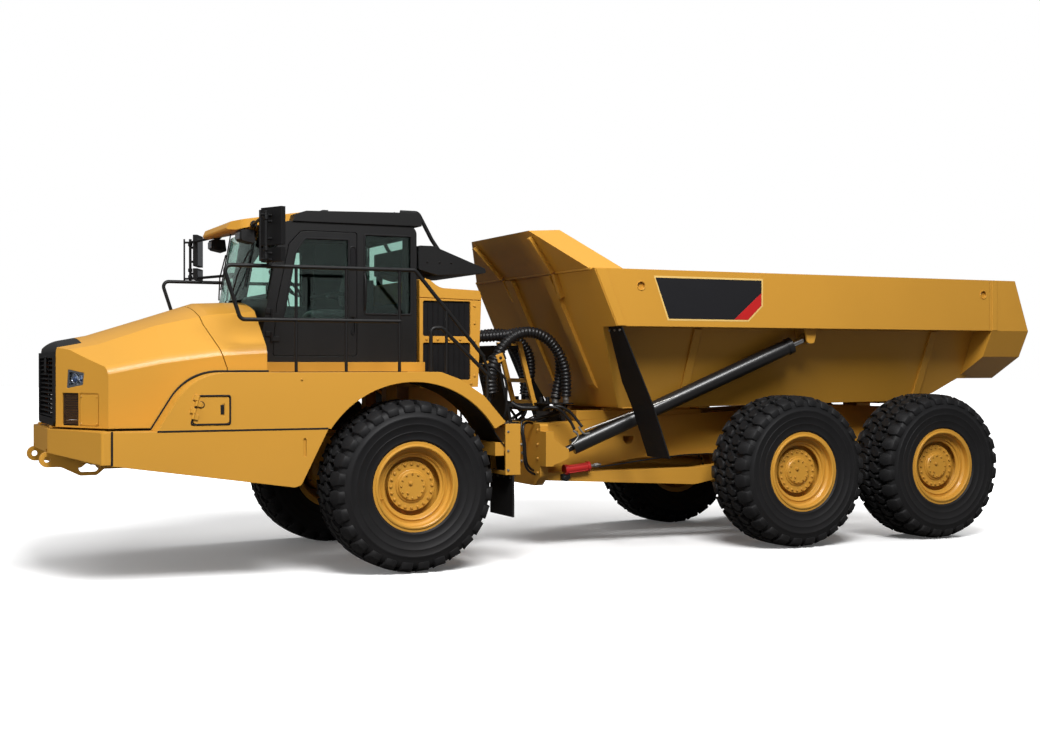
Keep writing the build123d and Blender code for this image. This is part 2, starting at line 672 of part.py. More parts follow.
def fender():
    """Left fender: front box, top and wheel arch, open below and towards the chassis."""
    front = [(FENDER_FRONT_FOOT, SKIRT_TOP), (FENDER_FRONT_HEAD, FENDER_TOP, FENDER_ROUND)]
    tail = [(-1010, 1500), (-900, 1440)]
    shoulder = [(0, WHEEL_RADIUS + 400), (FENDER_SEAM, SKIRT_TOP)]
    outer = side_prism(front + lip_line(ARCH_LIP, FENDER_TOP, LIP_ANGLES) + tail + shoulder, FENDER_IN,
                       SIDE_OUT)
    p = PANEL
    inner_front = [(FENDER_FRONT_FOOT - p - 8, SKIRT_TOP - 10),
                   (FENDER_FRONT_HEAD - p + 8, FENDER_TOP - p, FENDER_ROUND - p)]
    inner_lip = lip_line(ARCH_LIP - p, FENDER_TOP - p, (115, 130, 145))
    inner = side_prism(inner_front + inner_lip + [(FENDER_SEAM + p, SKIRT_TOP - 10)], FENDER_IN - 10,
                       SIDE_OUT - p)
    arch = cross_bar(0, WHEEL_RADIUS, ARCH_RADIUS, FENDER_IN - 50, SIDE_OUT + 50)
    liner = cross_bar(0, WHEEL_RADIUS, ARCH_RADIUS + p, FENDER_IN - 50, SIDE_OUT + 50)
    hood_room = block(CAB_FRONT_LOW - 60, 3000, 900, HOOD_SIDE + PANEL_GAP, 1300, 2100)
    r = HATCH_ROUND
    hole = side_prism([(*HATCH_FOOT, r), (*HATCH_HEAD, r), (HATCH_REAR, HATCH_HEAD[1], r),
                       (HATCH_REAR, HATCH_FOOT[1], r)],
                      SIDE_OUT - p - 5, SIDE_OUT + 5)
    return without(outer, [inner - liner, arch, hood_room, hole])


def hatch_hinge(t):
    """Hatch hinge at a share t of the way up the hatch's slanted front edge."""
    foot, head = Vector(HATCH_FOOT[0], 0, HATCH_FOOT[1]), Vector(HATCH_HEAD[0], 0, HATCH_HEAD[1])
    rise = (head - foot).normalized()
    point = foot + (head - foot) * t + Vector(0, SIDE_OUT + HINGE_OFFSET, 0)
    return hinge(tuple(point), tuple(rise), (-rise.Z, 0, rise.X), HINGE_OFFSET, 50, 40)




def fenders():
    left = joined(fender(), *[hatch_hinge(t)[1] for t in HATCH_HINGES])
    return [left, mirrored(fender())]


def hatch():
    g = PANEL_GAP
    r = HATCH_ROUND - g
    plate = side_prism([(HATCH_FOOT[0] - g * 1.3, HATCH_FOOT[1] + g, r),
                        (HATCH_HEAD[0] - g, HATCH_HEAD[1] - g, r),
                        (HATCH_REAR + g, HATCH_HEAD[1] - g, r), (HATCH_REAR + g, HATCH_FOOT[1] + g, r)],
                       SIDE_OUT - HATCH_THICKNESS, SIDE_OUT)
    slot_x, slot_z = HATCH_REAR + 60, (HATCH_FOOT[1] + HATCH_HEAD[1]) / 2
    slot = side_prism([(slot_x - 10, slot_z - 60, 9), (slot_x + 10, slot_z - 60, 9),
                       (slot_x + 10, slot_z + 60, 9),
                       (slot_x - 10, slot_z + 60, 9)], SIDE_OUT - 5, SIDE_OUT + 5)
    return [joined(plate - slot, *[hatch_hinge(t)[0] for t in HATCH_HINGES])]


def side_boxes():
    corners = [(FENDER_SEAM, SKIRT_TOP), (1165, 925, 40), (1230, 905, 30), (2950, 1160), (2950, SKIRT_TOP)]
    box = side_prism(corners, 1350, SIDE_OUT)
    handle = side_prism([(1115, 1200, 14), (1145, 1200, 14), (1145, 1380, 14), (1115, 1380, 14)],
                        SIDE_OUT - 14, SIDE_OUT + 5)
    return paired(box - handle)


def cab_form(inset):
    slope = (CAB_FRONT_LOW - CAB_FRONT_HIGH) / (CAB_HIGH - CAB_LOW)
    low = CAB_LOW + inset
    high = CAB_HIGH - inset
    return side_prism([(CAB_REAR + inset, low), (CAB_FRONT_LOW - inset - slope * inset, low),
                       (CAB_FRONT_HIGH - inset + slope * inset, high, CAB_CORNER - inset),
                       (CAB_REAR + inset, high, CAB_CORNER - inset)], -CAB_HALF + inset, CAB_HALF - inset)


def door_outline(g):
    """Outline of the doorway, or of the door with a gap g all round."""
    return [(DOOR_REAR + g, DOOR_LOW + g, 30), (DOOR_FRONT - g, DOOR_LOW + g, 30),
            (DOOR_FRONT - 40 - g, BELT + 140),
            (DOOR_FRONT - 170 - g, DOOR_HIGH - 140 - g), (DOOR_FRONT - 300 - g, DOOR_HIGH - g, 80 - g),
            (DOOR_REAR + g, DOOR_HIGH - g, 30)]


def door_hinge(z):
    return hinge((DOOR_FRONT + 12, CAB_HALF + HINGE_OFFSET, z), (0, 0, 1), (-1, 0, 0), HINGE_OFFSET, 80, 60)


def cab_shell():
    w = CAB_WALL
    left = side_prism(door_outline(0), CAB_HALF - w - 5, CAB_HALF + 5)
    right = side_prism(DOOR_WINDOW, -CAB_HALF - 5, -CAB_HALF + w + 5)
    rear_windows = paired(side_prism(REAR_WINDOW, CAB_HALF - w - 5, CAB_HALF + 5))
    back = block(CAB_REAR - 5, CAB_REAR + w + 5, -CAB_HALF + 280, CAB_HALF - 280, SILL, WINDOW_TOP + 50)
    front = block(1000, 1500, -CAB_HALF + 90, CAB_HALF - 90, SILL, CAB_HIGH - 90)
    shell = without(cab_form(0) - cab_form(w), [left, right, *rear_windows, back, front])
    lugs = [lug - cab_form(w) for lug in paired(block(CAB_FRONT_HIGH + 10, CAB_FRONT_HIGH + 150,
                                                      CAB_HALF - 45, CAB_HALF,
                                                      MIRROR_ARM_LOW - 30, MIRROR_ARM_LOW + 30))]
    return [joined(shell, *[door_hinge(z)[1] for z in DOOR_HINGES], *lugs)]


def cab_roof():
    front = CAB_FRONT_HIGH - 110
    corners = [(CAB_REAR - 50, CAB_HIGH), (front, CAB_HIGH), (front - 20, CAB_HIGH + 70),
               (front - 140, ROOF_HIGH - 30),
               (CAB_REAR, ROOF_HIGH, 60), (CAB_REAR - 50, ROOF_HIGH - 60)]
    return [side_prism(corners, -CAB_HALF - 20, CAB_HALF + 20)]


def roof_visor():
    front = CAB_FRONT_HIGH - 110
    tip = CAB_FRONT_HIGH + VISOR_REACH
    visor = side_prism([(front - 140, ROOF_HIGH - 30), (tip - 50, CAB_HIGH), (tip, CAB_HIGH - 80, 20),
                        (tip - 90, CAB_HIGH - 90), (CAB_FRONT_HIGH + 20, CAB_HIGH), (front, CAB_HIGH),
                        (front - 20, CAB_HIGH + 70)], -VISOR_HALF, VISOR_HALF)
    plan = [(800, -VISOR_HALF), (tip - 150, -VISOR_HALF, 120), (tip + 20, -VISOR_HALF + 260, 200),
            (tip + 20, VISOR_HALF - 260, 200), (tip - 150, VISOR_HALF, 120), (800, VISOR_HALF)]
    return [visor & plan_prism(plan, CAB_HIGH - 200, ROOF_HIGH + 50)]


def roof_lamps():
    """Two work lamp housings under the visor's corners."""
    x = CAB_FRONT_HIGH + 230
    housing = side_prism([(x, CAB_HIGH - 230, 20), (x + 150, CAB_HIGH - 200, 30), (x + 150, CAB_HIGH - 92),
                          (x + 20, CAB_HIGH - 92)], VISOR_HALF - 240, VISOR_HALF - 20)
    lens = block(x + 150, x + 160, VISOR_HALF - 220, VISOR_HALF - 40, CAB_HIGH - 190, CAB_HIGH - 110)
    riser = block(x + 60, x + 110, VISOR_HALF - 160, VISOR_HALF - 100, CAB_HIGH - 95,
                  visor_under(x + 110) - SEAT_GAP)
    return paired(joined(housing, lens, riser))


def visor_under(x):
    """Height of the visor's underside at x."""
    rear, front = CAB_FRONT_HIGH + 20, CAB_FRONT_HIGH + VISOR_REACH - 90
    return CAB_HIGH - 90 * (x - rear) / (front - rear)


def cab_glass():
    g = SEAT_GAP
    y = CAB_HALF - CAB_WALL / 2
    panes = paired(side_prism(drawn_in(REAR_WINDOW, g), y, y + GLASS))
    panes.append(mirrored(side_prism(drawn_in(DOOR_WINDOW, g), y, y + GLASS)))
    back = CAB_REAR + 20
    panes.append(block(back, back + GLASS, -CAB_HALF + 280 + g, CAB_HALF - 280 - g, SILL + g,
                       WINDOW_TOP + 50 - g))
    slope = (CAB_FRONT_LOW - CAB_FRONT_HIGH) / (CAB_HIGH - CAB_LOW)
    foot = CAB_FRONT_LOW - slope * (SILL + 5 - CAB_LOW) + g
    half = CAB_HALF - 50
    front = ThreePointArc((foot + GLASS, -half), (foot + SCREEN_BULGE + GLASS, 0), (foot + GLASS, half))
    inner = ThreePointArc((foot, -half), (foot + SCREEN_BULGE, 0), (foot, half))
    ends = [Line(front @ 0, inner @ 0), Line(front @ 1, inner @ 1)]
    face = Face(Wire([*front.edges(), *inner.edges(), *ends[0].edges(), *ends[1].edges()]))
    rise = CAB_HIGH - SILL - 65 - CAB_CORNER / 2
    panes.append(Solid.extrude(Pos(0, 0, SILL + 5) * face, Vector(-slope * rise, 0, rise)))
    return panes


def cab_interior():
    floor = CAB_LOW + CAB_WALL
    seat_box = block(150, 550, -220, 220, floor, SEAT_BOX_TOP)
    console = block(100, 900, -520, -300, floor, cab_level(0.43))
    foot = CAB_FRONT_LOW - CAB_WALL - 15
    dash = side_prism([(foot, floor), (foot - 255, floor), (foot - 295, DASH_TOP - 220, 40),
                       (foot - 215, DASH_TOP, 30),
                       (foot - 145, DASH_TOP, 30), (foot - 105, DASH_TOP - 100)], -560, 560)
    hub = (870, 0, WHEEL_LEVEL)
    tilt = (-220, 0, 260)
    column = round_bar((foot - 235, 0, WHEEL_LEVEL - 275), (862, 0, WHEEL_LEVEL + 9), 35)
    wheel = Plane(origin=hub, z_dir=tilt) * Solid.make_torus(205, 15)
    spokes = [Plane(origin=hub, z_dir=tilt) * Rot(0, 0, angle) * Pos(100, 0, 0) * Box(200, 30, 14)
              for angle in (90, 210, 330)]
    return [seat_box, console, joined(dash, column, wheel, *spokes)]


def seat_cushions():
    cushion = side_prism([(130, SEAT_BOX_TOP + SEAT_GAP, 30), (650, SEAT_BOX_TOP + SEAT_GAP, 30),
                          (650, CUSHION_TOP, 40),
                          (130, CUSHION_TOP, 30)], -240, 240)
    backrest = side_prism([(130, CUSHION_TOP + SEAT_GAP), (260, CUSHION_TOP + SEAT_GAP),
                           (120, BACKREST_TOP, 50),
                           (0, BACKREST_TOP, 50)], -230, 230)
    return [cushion, backrest]


def left_door():
    y0, y1 = CAB_HALF - CAB_WALL, CAB_HALF
    leaf = side_prism(door_outline(SHUT_GAP), y0, y1) - side_prism(DOOR_WINDOW, y0 - 5, y1 + 5)
    x, z = DOOR_REAR + 48, BELT - 60
    handle = side_prism([(x - 22, z - 90, 20), (x + 22, z - 90, 20), (x + 22, z + 90, 20),
                         (x - 22, z + 90, 20)],
                        y1 - 25, y1 + 5)
    return [joined(leaf - handle, *[door_hinge(z)[0] for z in DOOR_HINGES])]


def left_door_glass():
    y = CAB_HALF - CAB_WALL / 2
    return [side_prism(drawn_in(DOOR_WINDOW, SEAT_GAP), y, y + GLASS)]


# Side openings of the cooling housing: foot, head


def cooling_housing():
    """Cooling housing: four posts, sides with two openings each, and a cap that rises to its front."""
    f, r, top, w = HOUSING_FRONT, HOUSING_REAR, HOUSING_TOP, HOUSING_WALL
    shell = side_prism([(f, 1850), (r, 1850), (r - 40, top - 60, 20), (r - 20, top, 30),
                        (f - 230, top + 20, 200),
                        (f - 110, top + 110, 60), (f, top + 110, 15)], -HOUSING_HALF, HOUSING_HALF)
    shell -= side_prism([(f - w, 1850 + w), (r + w, 1850 + w), (r + w - 30, top - 70), (f - 230, top - 40),
                         (f - w, top + 40)], -HOUSING_HALF + w, HOUSING_HALF - w)
    for z0, z1 in HOUSING_OPENINGS:
        shell -= side_prism([(r + 90, z0, 20), (f - w, z0, 20), (f - w, z1, 20), (r + 90, z1, 20)],
                            -HOUSING_HALF - 20, HOUSING_HALF + 20)
    groove = [(f + 5, top - 96), (r - 60, top - 116), (r - 60, top - 104), (f + 5, top - 84)]
    shell = without(shell, paired(side_prism(groove, HOUSING_HALF - 8, HOUSING_HALF + 5)))
    lug = side_prism([(f - 160, top), (f - 90, top + 100, 30), (f - 50, top + 180, 35),
                      (f - 10, top + 100)], 760, 785)
    lug -= cross_bar(f - 60, top + 135, 22, 750, 790)
    return [joined(shell, *paired(lug))]


def cooling_mesh():
    """Screens behind the housing's side openings, with upright ribs."""
    g = SEAT_GAP
    y = HOUSING_HALF - 30
    panels = []
    for z0, z1 in HOUSING_OPENINGS:
        x0, x1 = HOUSING_REAR + 90 + g, HOUSING_FRONT - HOUSING_WALL - g
        panel = side_prism([(x0, z0 + g, 20), (x1, z0 + g, 20), (x1, z1 - g, 20), (x0, z1 - g, 20)], y,
                           y + 10)
        count = 8
        ribs = [block(x0 + (x1 - x0) * (i + 1) / (count + 1) - 4, x0 + (x1 - x0) * (i + 1) / (count + 1) + 4,
                      y + 10, y + 18, z0 + 20, z1 - 20) for i in range(count)]
        panels += paired(joined(panel, *ribs))
    return panels


def rear_guard():
    """Black intake behind the cab's roof, on two legs, with a bent guard tube at each side."""
    wedge = side_prism([(-400, 3120, 20), (-400, 3375, 20), (-570, 3375, 120), (-1200, 3140, 30),
                        (-1180, 3095, 20),
                        (-620, 3060, 150)], -720, 720)
    legs = paired(block(-462, -405, 600, 660, HOUSING_TOP + 110 + SEAT_GAP, 3116))
    tube = bent_bar([(-200, 700, ROOF_HIGH + 24), (-400, 700, ROOF_HIGH + 24), (-560, 700, 3440),
                     (-640, 700, 3330)], 60, 22)
    return [joined(wedge, *legs, *paired(tube))]




def handrails():
    """Left handrail: two rails with posts, and the stair's sloping rail and hoop behind them."""
    y, top, low = HANDRAIL_Y, HANDRAIL_TOP, HANDRAIL_LOW
    rear_post = 110
    loop = bent_bar([(rear_post - 12, y, low), (1730, y, low), (1900, y, top), (-57, y, top),
                     (-819, y, 2173)], 60, HANDRAIL)
    thin = HANDRAIL - 4
    posts = [round_bar((x, y, FENDER_TOP), (x, y, top), thin) for x in (1180, 670, rear_post)]
    hoop = bent_bar([(-230, y, FENDER_TOP), (-230, y, 2470), (-350, y, 2470), (-909, y, 1945)], 55, HANDRAIL)
    # x, height of the rail that the stay carries
    for x, z in ((-400, 2640), (-855, 1993)):
        posts.append(round_bar((x, y, slope_height(x + HANDRAIL) + SEAT_GAP), (x, y, z), thin))
    end = round_bar((-805, y, 2189), (-895, y, 1958), thin)
    return joined(loop, *posts, hoop, end)


def mirrors():
    """Left mirror: two heads on a tube frame, turned towards the driver, with two arms to the cab."""
    x, y = MIRROR
    high, low = MIRROR_ARM_HIGH, MIRROR_ARM_LOW
    turn = radians(MIRROR_TURN)
    along, ahead = Vector(sin(turn), -cos(turn), 0), Vector(cos(turn), sin(turn), 0)
    place = Plane(origin=(x, y, 0), x_dir=tuple(along), z_dir=(0, 0, 1))
    heads = []
    for z0, z1 in ((low + 140, high + 80), (low - 20, low + 115)):
        head = place * block(-MIRROR_WIDTH / 2, MIRROR_WIDTH / 2, -25, 25, z0, z1)
        heads.append(head)
    mast = Vector(x, y, 0) + ahead * 90
    guard = Vector(x, y, 0) + ahead * 160
    rods = [round_bar((p.X, p.Y, low - 20), (p.X, p.Y, high + 40), r) for p, r in ((mast, 16), (guard, 10))]
    for z in (low, high):
        rods.append(round_bar((guard.X, guard.Y, z), (x, y, z), 12))
    for z in (low + 60, low + 200, high - 60):
        rods.append(round_bar((mast.X, mast.Y, z), (x, y, z), 14))
    low_end = (CAB_FRONT_HIGH + 120, CAB_HALF + SEAT_GAP, low)
    high_end = (CAB_FRONT_HIGH + 260, VISOR_HALF + SEAT_GAP, high)
    arms = [round_bar((mast.X, mast.Y, low), low_end, 16), round_bar((mast.X, mast.Y, high), high_end, 16)]
    trims = [block(low_end[0] - 80, low_end[0] + 80, low_end[1] - 60, low_end[1], low - 60, low + 60),
             block(high_end[0] - 80, high_end[0] + 80, high_end[1] - 60, high_end[1], high - 60, high + 60)]
    return without(joined(*heads, *rods, *arms), trims)


def access_steps():
    """Left ladder behind the front wheel."""
    treads = [block(-1180, -1010, 1250, 1640, z, z + 40) for z in (950, 1200, 1440)]
    sides = [side_prism([(-1180, 950), (-1010, 950), (-1010, 1480), (-1180, 1480)], y,
                        y + 20) for y in (1250, 1620)]
    return joined(*treads, *sides)


def mud_flaps():
    return paired(block(-1110, -1090, 1060, 1640, 510, 950))


def hitch_yoke():
    g = RUNNING_FIT
    boss = round_bar((HITCH_X, 0, EAR_LOW + EAR_THICKNESS + 5), (HITCH_X, 0, EAR_HIGH - EAR_THICKNESS - 5),
                     165)
    pin = round_bar((HITCH_X, 0, EAR_LOW - 30), (HITCH_X, 0, EAR_HIGH + 30), PIN_RADIUS - g)
    cap = round_bar((HITCH_X, 0, EAR_HIGH + 6), (HITCH_X, 0, EAR_HIGH + 40), 130)
    neck = round_bar((HITCH_X, 0, ROLL_Z), (FRAME_PLATE_X - FRAME_PLATE_THICKNESS - 40, 0, ROLL_Z), 140 - g)
    collar = round_bar((HITCH_X - 150, 0, ROLL_Z), (FRAME_PLATE_X + 10, 0, ROLL_Z), 200)
    arm = plan_prism([(HITCH_X, 0), (HITCH_X - 60, 160), (STEER_EYE[0] + 40, STEER_EYE[1] + 40),
                      (STEER_EYE[0] - 60, STEER_EYE[1] + 40), (STEER_EYE[0] - 60, 0)], STEER_EYE[2] + 50,
                     STEER_EYE[2] + 80)
    saddle = block(HITCH_X - 330, HITCH_X - 190, -TOWER_HALF, TOWER_HALF, ROLL_Z + 150, ROLL_Z + 330)
    saddle = saddle + block(HITCH_X - 320, HITCH_X - 200, -120, 120, ROLL_Z, ROLL_Z + 200)
    return [joined(boss, pin, cap, neck, collar, saddle, *paired(arm))]


def hose_tower():
    """Leaning plate and ladder frame over the hitch, which carry the hoses to the rear frame."""
    low = ROLL_Z + 330 + SEAT_GAP
    x = HITCH_X - 240
    lean = TOWER_LEAN
    plate = side_prism([(x - 20, low), (x + 15, low), (x + 15 + lean, TOWER_TOP),
                        (x - 20 + lean, TOWER_TOP)],
                       -TOWER_HALF, TOWER_HALF)
    base = block(x - 85, x + 45, -TOWER_HALF, TOWER_HALF, low, low + 25)
    rear_foot, rear_head = x - 330, x - 330 + lean
    legs = []
    for y in (-TOWER_HALF + 20, TOWER_HALF - 20):
        legs.append(side_prism([(rear_foot, low + 180), (rear_foot + 40, low + 180),
                                (rear_head + 40, TOWER_TOP + 40),
                                (rear_head, TOWER_TOP + 40)], y - 20, y + 20))
        for z in (low + 200, TOWER_TOP - 40):
            shift = lean * (z - low) / (TOWER_TOP - low)
            legs.append(block(rear_foot + shift - 20, x + shift, y - 20, y + 20, z, z + 40))
    rungs = []
    for z in (low + 230, low + 480, TOWER_TOP - 20):
        shift = lean * (z - low - 180) / (TOWER_TOP + 40 - low - 180)
        rungs.append(block(rear_foot + shift, rear_foot + shift + 40, -TOWER_HALF, TOWER_HALF, z, z + 40))
    return [joined(plate, base, *legs, *rungs)]


def frame_plate():
    """Upright front plate of the rear frame, with flanged sides."""
    x0, x1 = FRAME_PLATE_X - FRAME_PLATE_THICKNESS, FRAME_PLATE_X
    y, low, high = FRAME_PLATE_HALF, FRAME_PLATE_LOW, FRAME_PLATE_HIGH
    plate = section_prism([(-y, low + 60, 60), (-y + 140, low - 50, 60), (y - 140, low - 50, 60),
                           (y, low + 60, 60),
                           (y, high, 30), (-y, high, 30)], x0, x1)
    cheeks = paired(side_prism([(x1, low + 40), (x0 - 90, low + 60, 30), (x0 - 90, high - 20, 30),
                                (x1, high)],
                               BEAM_OUT, BEAM_OUT + 30))
    return joined(plate, *cheeks)


def rear_chassis():
    beam = [(-1900, 780), (-3200, 1000), (-6900, 1080), (DUMP_X - 60, DUMP_Z - 120), (DUMP_X - 60, DUMP_Z),
            (-6900, DUMP_Z),
            (-5900, DUMP_Z + 30), (-2000, 1430), (-1900, 1430)]
    beams = paired(side_prism(beam, BEAM_IN, BEAM_OUT))
    hole = side_prism([(-3170, 1260), (-3170, 1170, 68), (-3030, 1170, 68), (-3030, 1260)], BEAM_IN - 5,
                      BEAM_OUT + 5)
    tails = paired(cross_bar(DUMP_X, DUMP_Z, 100, BEAM_IN, BEAM_OUT))
    ties = [block(x - 80, x + 80, -BEAM_IN, BEAM_IN, 1150, 1400) for x in (-3600, -5730, -6950)]
    x, y, z = RAM_BASE
    ears = []
    for y0, y1 in ((y - 62 - 36, y - 62), (y + 62, y + 62 + 36)):
        ears += paired(side_prism([(-1900, z - 140), (x, z - 90, 60), (x - 80, z - 50, 40),
                                   (x - 80, z + 50, 40),
                                   (x, z + 90, 60), (-1900, z + 200)], y0, y1))
    ears += paired(cross_bar(x, z, RAM_PIN, y - 70, y + 70))
    ears += paired(Pos(x, y, z) * Solid.make_sphere(RAM_BALL - RUNNING_FIT, angle1=-90, angle2=90))
    shelf = block(-1950, FRAME_PLATE_X, -y - 98, y + 98, 960, 1350)
    body = joined(*beams, *tails, frame_plate(), *ties, *ears, shelf)
    body = without(body, paired(hole))
    body -= round_bar((-2200, 0, ROLL_Z), (-1700, 0, ROLL_Z), 140)
    body -= cross_bar(DUMP_X, DUMP_Z, 60, -BEAM_OUT - 10, BEAM_OUT + 10)
    return [body]


def tail_lamps():
    """A lamp board on each side under the load body's tail."""
    x = DUMP_X - 60 - SEAT_GAP
    board = block(x - 30, x, BEAM_IN - 160, BEAM_OUT + 160, DUMP_Z - 240, DUMP_Z - 130)
    arm = block(x - 30, x, BEAM_IN + 20, BEAM_OUT - 20, DUMP_Z - 180, DUMP_Z - 84)
    lamps = [round_bar((x - 45, y, DUMP_Z - 185), (x - 25, y, DUMP_Z - 185), 42) for y in (BEAM_IN - 90,
                                                                                           BEAM_OUT + 90)]
    return paired(joined(board, arm, *lamps))


def rear_axles():
    """Both rear axles with the drive shafts between them and to the hitch."""
    middle, rear = axle(AXLE_2_X), axle(AXLE_3_X)
    between = round_bar((AXLE_3_X, 0, WHEEL_RADIUS), (AXLE_2_X, 0, WHEEL_RADIUS), SHAFT_RADIUS)
    start = (FRAME_PLATE_X - FRAME_PLATE_THICKNESS - 60, 0, ROLL_Z)
    long_shaft = round_bar(start, (AXLE_2_X, 0, WHEEL_RADIUS), SHAFT_RADIUS)
    flange = round_bar(start, (start[0] - 60, 0, ROLL_Z - 4), 110)
    return [joined(middle, rear, between, long_shaft, flange)]


def walking_beams():
    middle = (AXLE_2_X + AXLE_3_X) / 2
    corners = [(AXLE_2_X + 180, 700, 90), (AXLE_2_X + 180, 1040, 90), (middle, 1180, 300),
               (AXLE_3_X - 180, 1040, 90),
               (AXLE_3_X - 180, 700, 90), (middle, 820, 600)]
    bores = [cross_bar(x, WHEEL_RADIUS, 165 + SEAT_GAP, 700, 900) for x in (AXLE_2_X, AXLE_3_X)]
    beam = without(side_prism(corners, 720, 850), bores)
    trunnion = cross_bar(middle, 1080, 80, BEAM_OUT, 720)
    return paired(joined(beam, trunnion))


def trailing_links():
    corners = [(-1950 - SEAT_GAP, 790), (-1950 - SEAT_GAP, 880), (-3900, 880, 200),
               (AXLE_2_X + 150, 940, 40),
               (AXLE_2_X + 150, 800, 40), (-3900, 680, 200)]
    return paired(side_prism(corners, 560, 680))


def body_section(wide):
    half = [(CHINE, BODY_FLOOR), (HULL_TOP_HALF, RAIL_BOTTOM), (BODY_HALF, RAIL_BOTTOM),
            (BODY_HALF, RAIL_TOP)]
    if wide:
        half = [(CHINE, BODY_FLOOR), (CHINE + 80, TAIL_FLOOR), (BODY_HALF - 158, TAIL_FLOOR + 270),
                (BODY_HALF, RAIL_BOTTOM), (BODY_HALF, RAIL_TOP)]
    return half + [(-y, z) for y, z in reversed(half)]


def dump_shell():
    """Load body: hull with a rising tail, boxed side rails, pivot brackets and ram ears."""
    w = BODY_WALL
    main = section_prism(body_section(False), TAIL_RISE_X - 140, BODY_FRONT + 160)
    tail = section_prism(body_section(True), -TAIL_REACH, TAIL_RISE_X - 40)
    rise = [(FLOOR_REAR, BODY_FLOOR + FLOOR_RISE), (TAIL_RISE_X + 320, BODY_FLOOR + 140),
            (TAIL_RISE_X, TAIL_FLOOR)]
    profile = [(BODY_FRONT, RAIL_TOP), (FLOOR_FRONT, BODY_FLOOR, 60), *rise, (-TAIL_REACH, TAIL_FLOOR),
               (-TAIL_REACH, RAIL_BOTTOM - 10), (-TAIL_REACH + 220, RAIL_TOP)]
    outer = (main + tail) & side_prism(profile, -BODY_HALF - 90, BODY_HALF + 90)
    half = [(CHINE - w, BODY_FLOOR), (HULL_TOP_HALF - w, RAIL_BOTTOM),
            (BODY_HALF - RAIL_FOLD, RAIL_TOP + 10)]
    room = section_prism(half + [(-y, z) for y, z in reversed(half)], -TAIL_REACH - 100, BODY_FRONT + 160)
    inner = [(BODY_FRONT - w, RAIL_TOP + 20), (FLOOR_FRONT - w, BODY_FLOOR + w, 120),
             *[(x, z + w) for x, z in rise],
             (-TAIL_REACH - 200, TAIL_FLOOR + w), (-TAIL_REACH - 200, RAIL_TOP + 20)]
    seam_x = TAIL_RISE_X - 10
    seams = paired(block(seam_x, seam_x + 10, BODY_HALF - 6, BODY_HALF + 5, RAIL_BOTTOM - 10, RAIL_TOP + 10))
    lift_holes = paired(*[cross_bar(x, RAIL_TOP - 180, 45, BODY_HALF - 25, BODY_HALF + 5)
                          for x in (-2640, TAIL_RISE_X + 100)])
    shell = without(outer - (room & side_prism(inner, -BODY_HALF - 90, BODY_HALF + 90)), seams + lift_holes)
    brackets = []
    for y0, y1 in ((BEAM_OUT + PIVOT_GAP, BEAM_OUT + 80), (BEAM_IN - 80, BEAM_IN - PIVOT_GAP)):
        brackets += paired(side_prism([(DUMP_X + 110, BODY_FLOOR + 80), (DUMP_X + 110, DUMP_Z - 60, 60),
                                       (DUMP_X + 60, DUMP_Z - 100, 60), (DUMP_X - 60, DUMP_Z - 100, 60),
                                       (DUMP_X - 110, DUMP_Z - 60, 60), (DUMP_X - 110, BODY_FLOOR + 160)],
                                      y0, y1))
    pins = paired(cross_bar(DUMP_X, DUMP_Z, 60 - RUNNING_FIT, BEAM_IN - 80, BEAM_OUT + 80))
    x, y, z = RAM_TOP
    ram_ears = []
    for middle in (y - 95, y + 85):
        ram_ears += paired(side_prism([(x - 90, RAIL_BOTTOM + 40), (x - 50, z - 60, 40),
                                       (x + 50, z - 60, 40),
                                       (x + 90, RAIL_BOTTOM + 40)], middle - 12, middle + 12))
    return [joined(shell, *brackets, *pins, *ram_ears, *hull_ribs())]


def hull_ribs():
    """Upright ribs on the body's front wall, under the headboard, and a cross rib below the floor."""
    slope = (BODY_FRONT - FLOOR_FRONT) / (RAIL_TOP - BODY_FLOOR)
    ribs = []
    for y in (-520, 520):
        low, high = BODY_FLOOR + 200, RAIL_TOP - 30
        foot, head = FLOOR_FRONT + slope * (low - BODY_FLOOR), FLOOR_FRONT + slope * (high - BODY_FLOOR)
        ribs.append(side_prism([(foot - 10, low), (foot + 60, low + 60), (head + 60, high),
                                (head - 10, high)], y - 90, y + 90))
    for x in (-3900, -5300, -6500):
        floor = BODY_FLOOR + FLOOR_RISE * (FLOOR_FRONT - x) / (FLOOR_FRONT - FLOOR_REAR)
        ribs.append(block(x - 60, x + 60, -CHINE + 40, CHINE - 40, floor - 25, floor + 10))
    return ribs


def headboard():
    """Spill guard over the front wall: a leaning plate with folded sides, top flange and ribs."""
    low_x, low_z = BODY_FRONT - 20, RAIL_TOP - 50
    high_x, high_z = BODY_FRONT + 396, RAIL_TOP + HEAD_RISE
    head = BODY_HALF / 2
    depth, drop = 386, 24
    corners = [Vector(low_x, -BODY_HALF, low_z), Vector(low_x, BODY_HALF, low_z),
               Vector(high_x, head, high_z),
               Vector(high_x, -head, high_z)]
    outer = Solid.extrude(Face(Wire.make_polygon(corners)), Vector(-depth, 0, drop))
    corners = [Vector(low_x - 30, -BODY_HALF + 30, low_z - 20),
               Vector(low_x - 30, BODY_HALF - 30, low_z - 20),
               Vector(high_x - 30, head - 10, high_z - 20), Vector(high_x - 30, -head + 10, high_z - 20)]
    inner = Solid.extrude(Face(Wire.make_polygon(corners)), Vector(-depth - 100, 0, drop))
    guard = (outer - inner) - block(-2600, -1500, -1700, 1700, 2900, RAIL_TOP)
    return [guard]


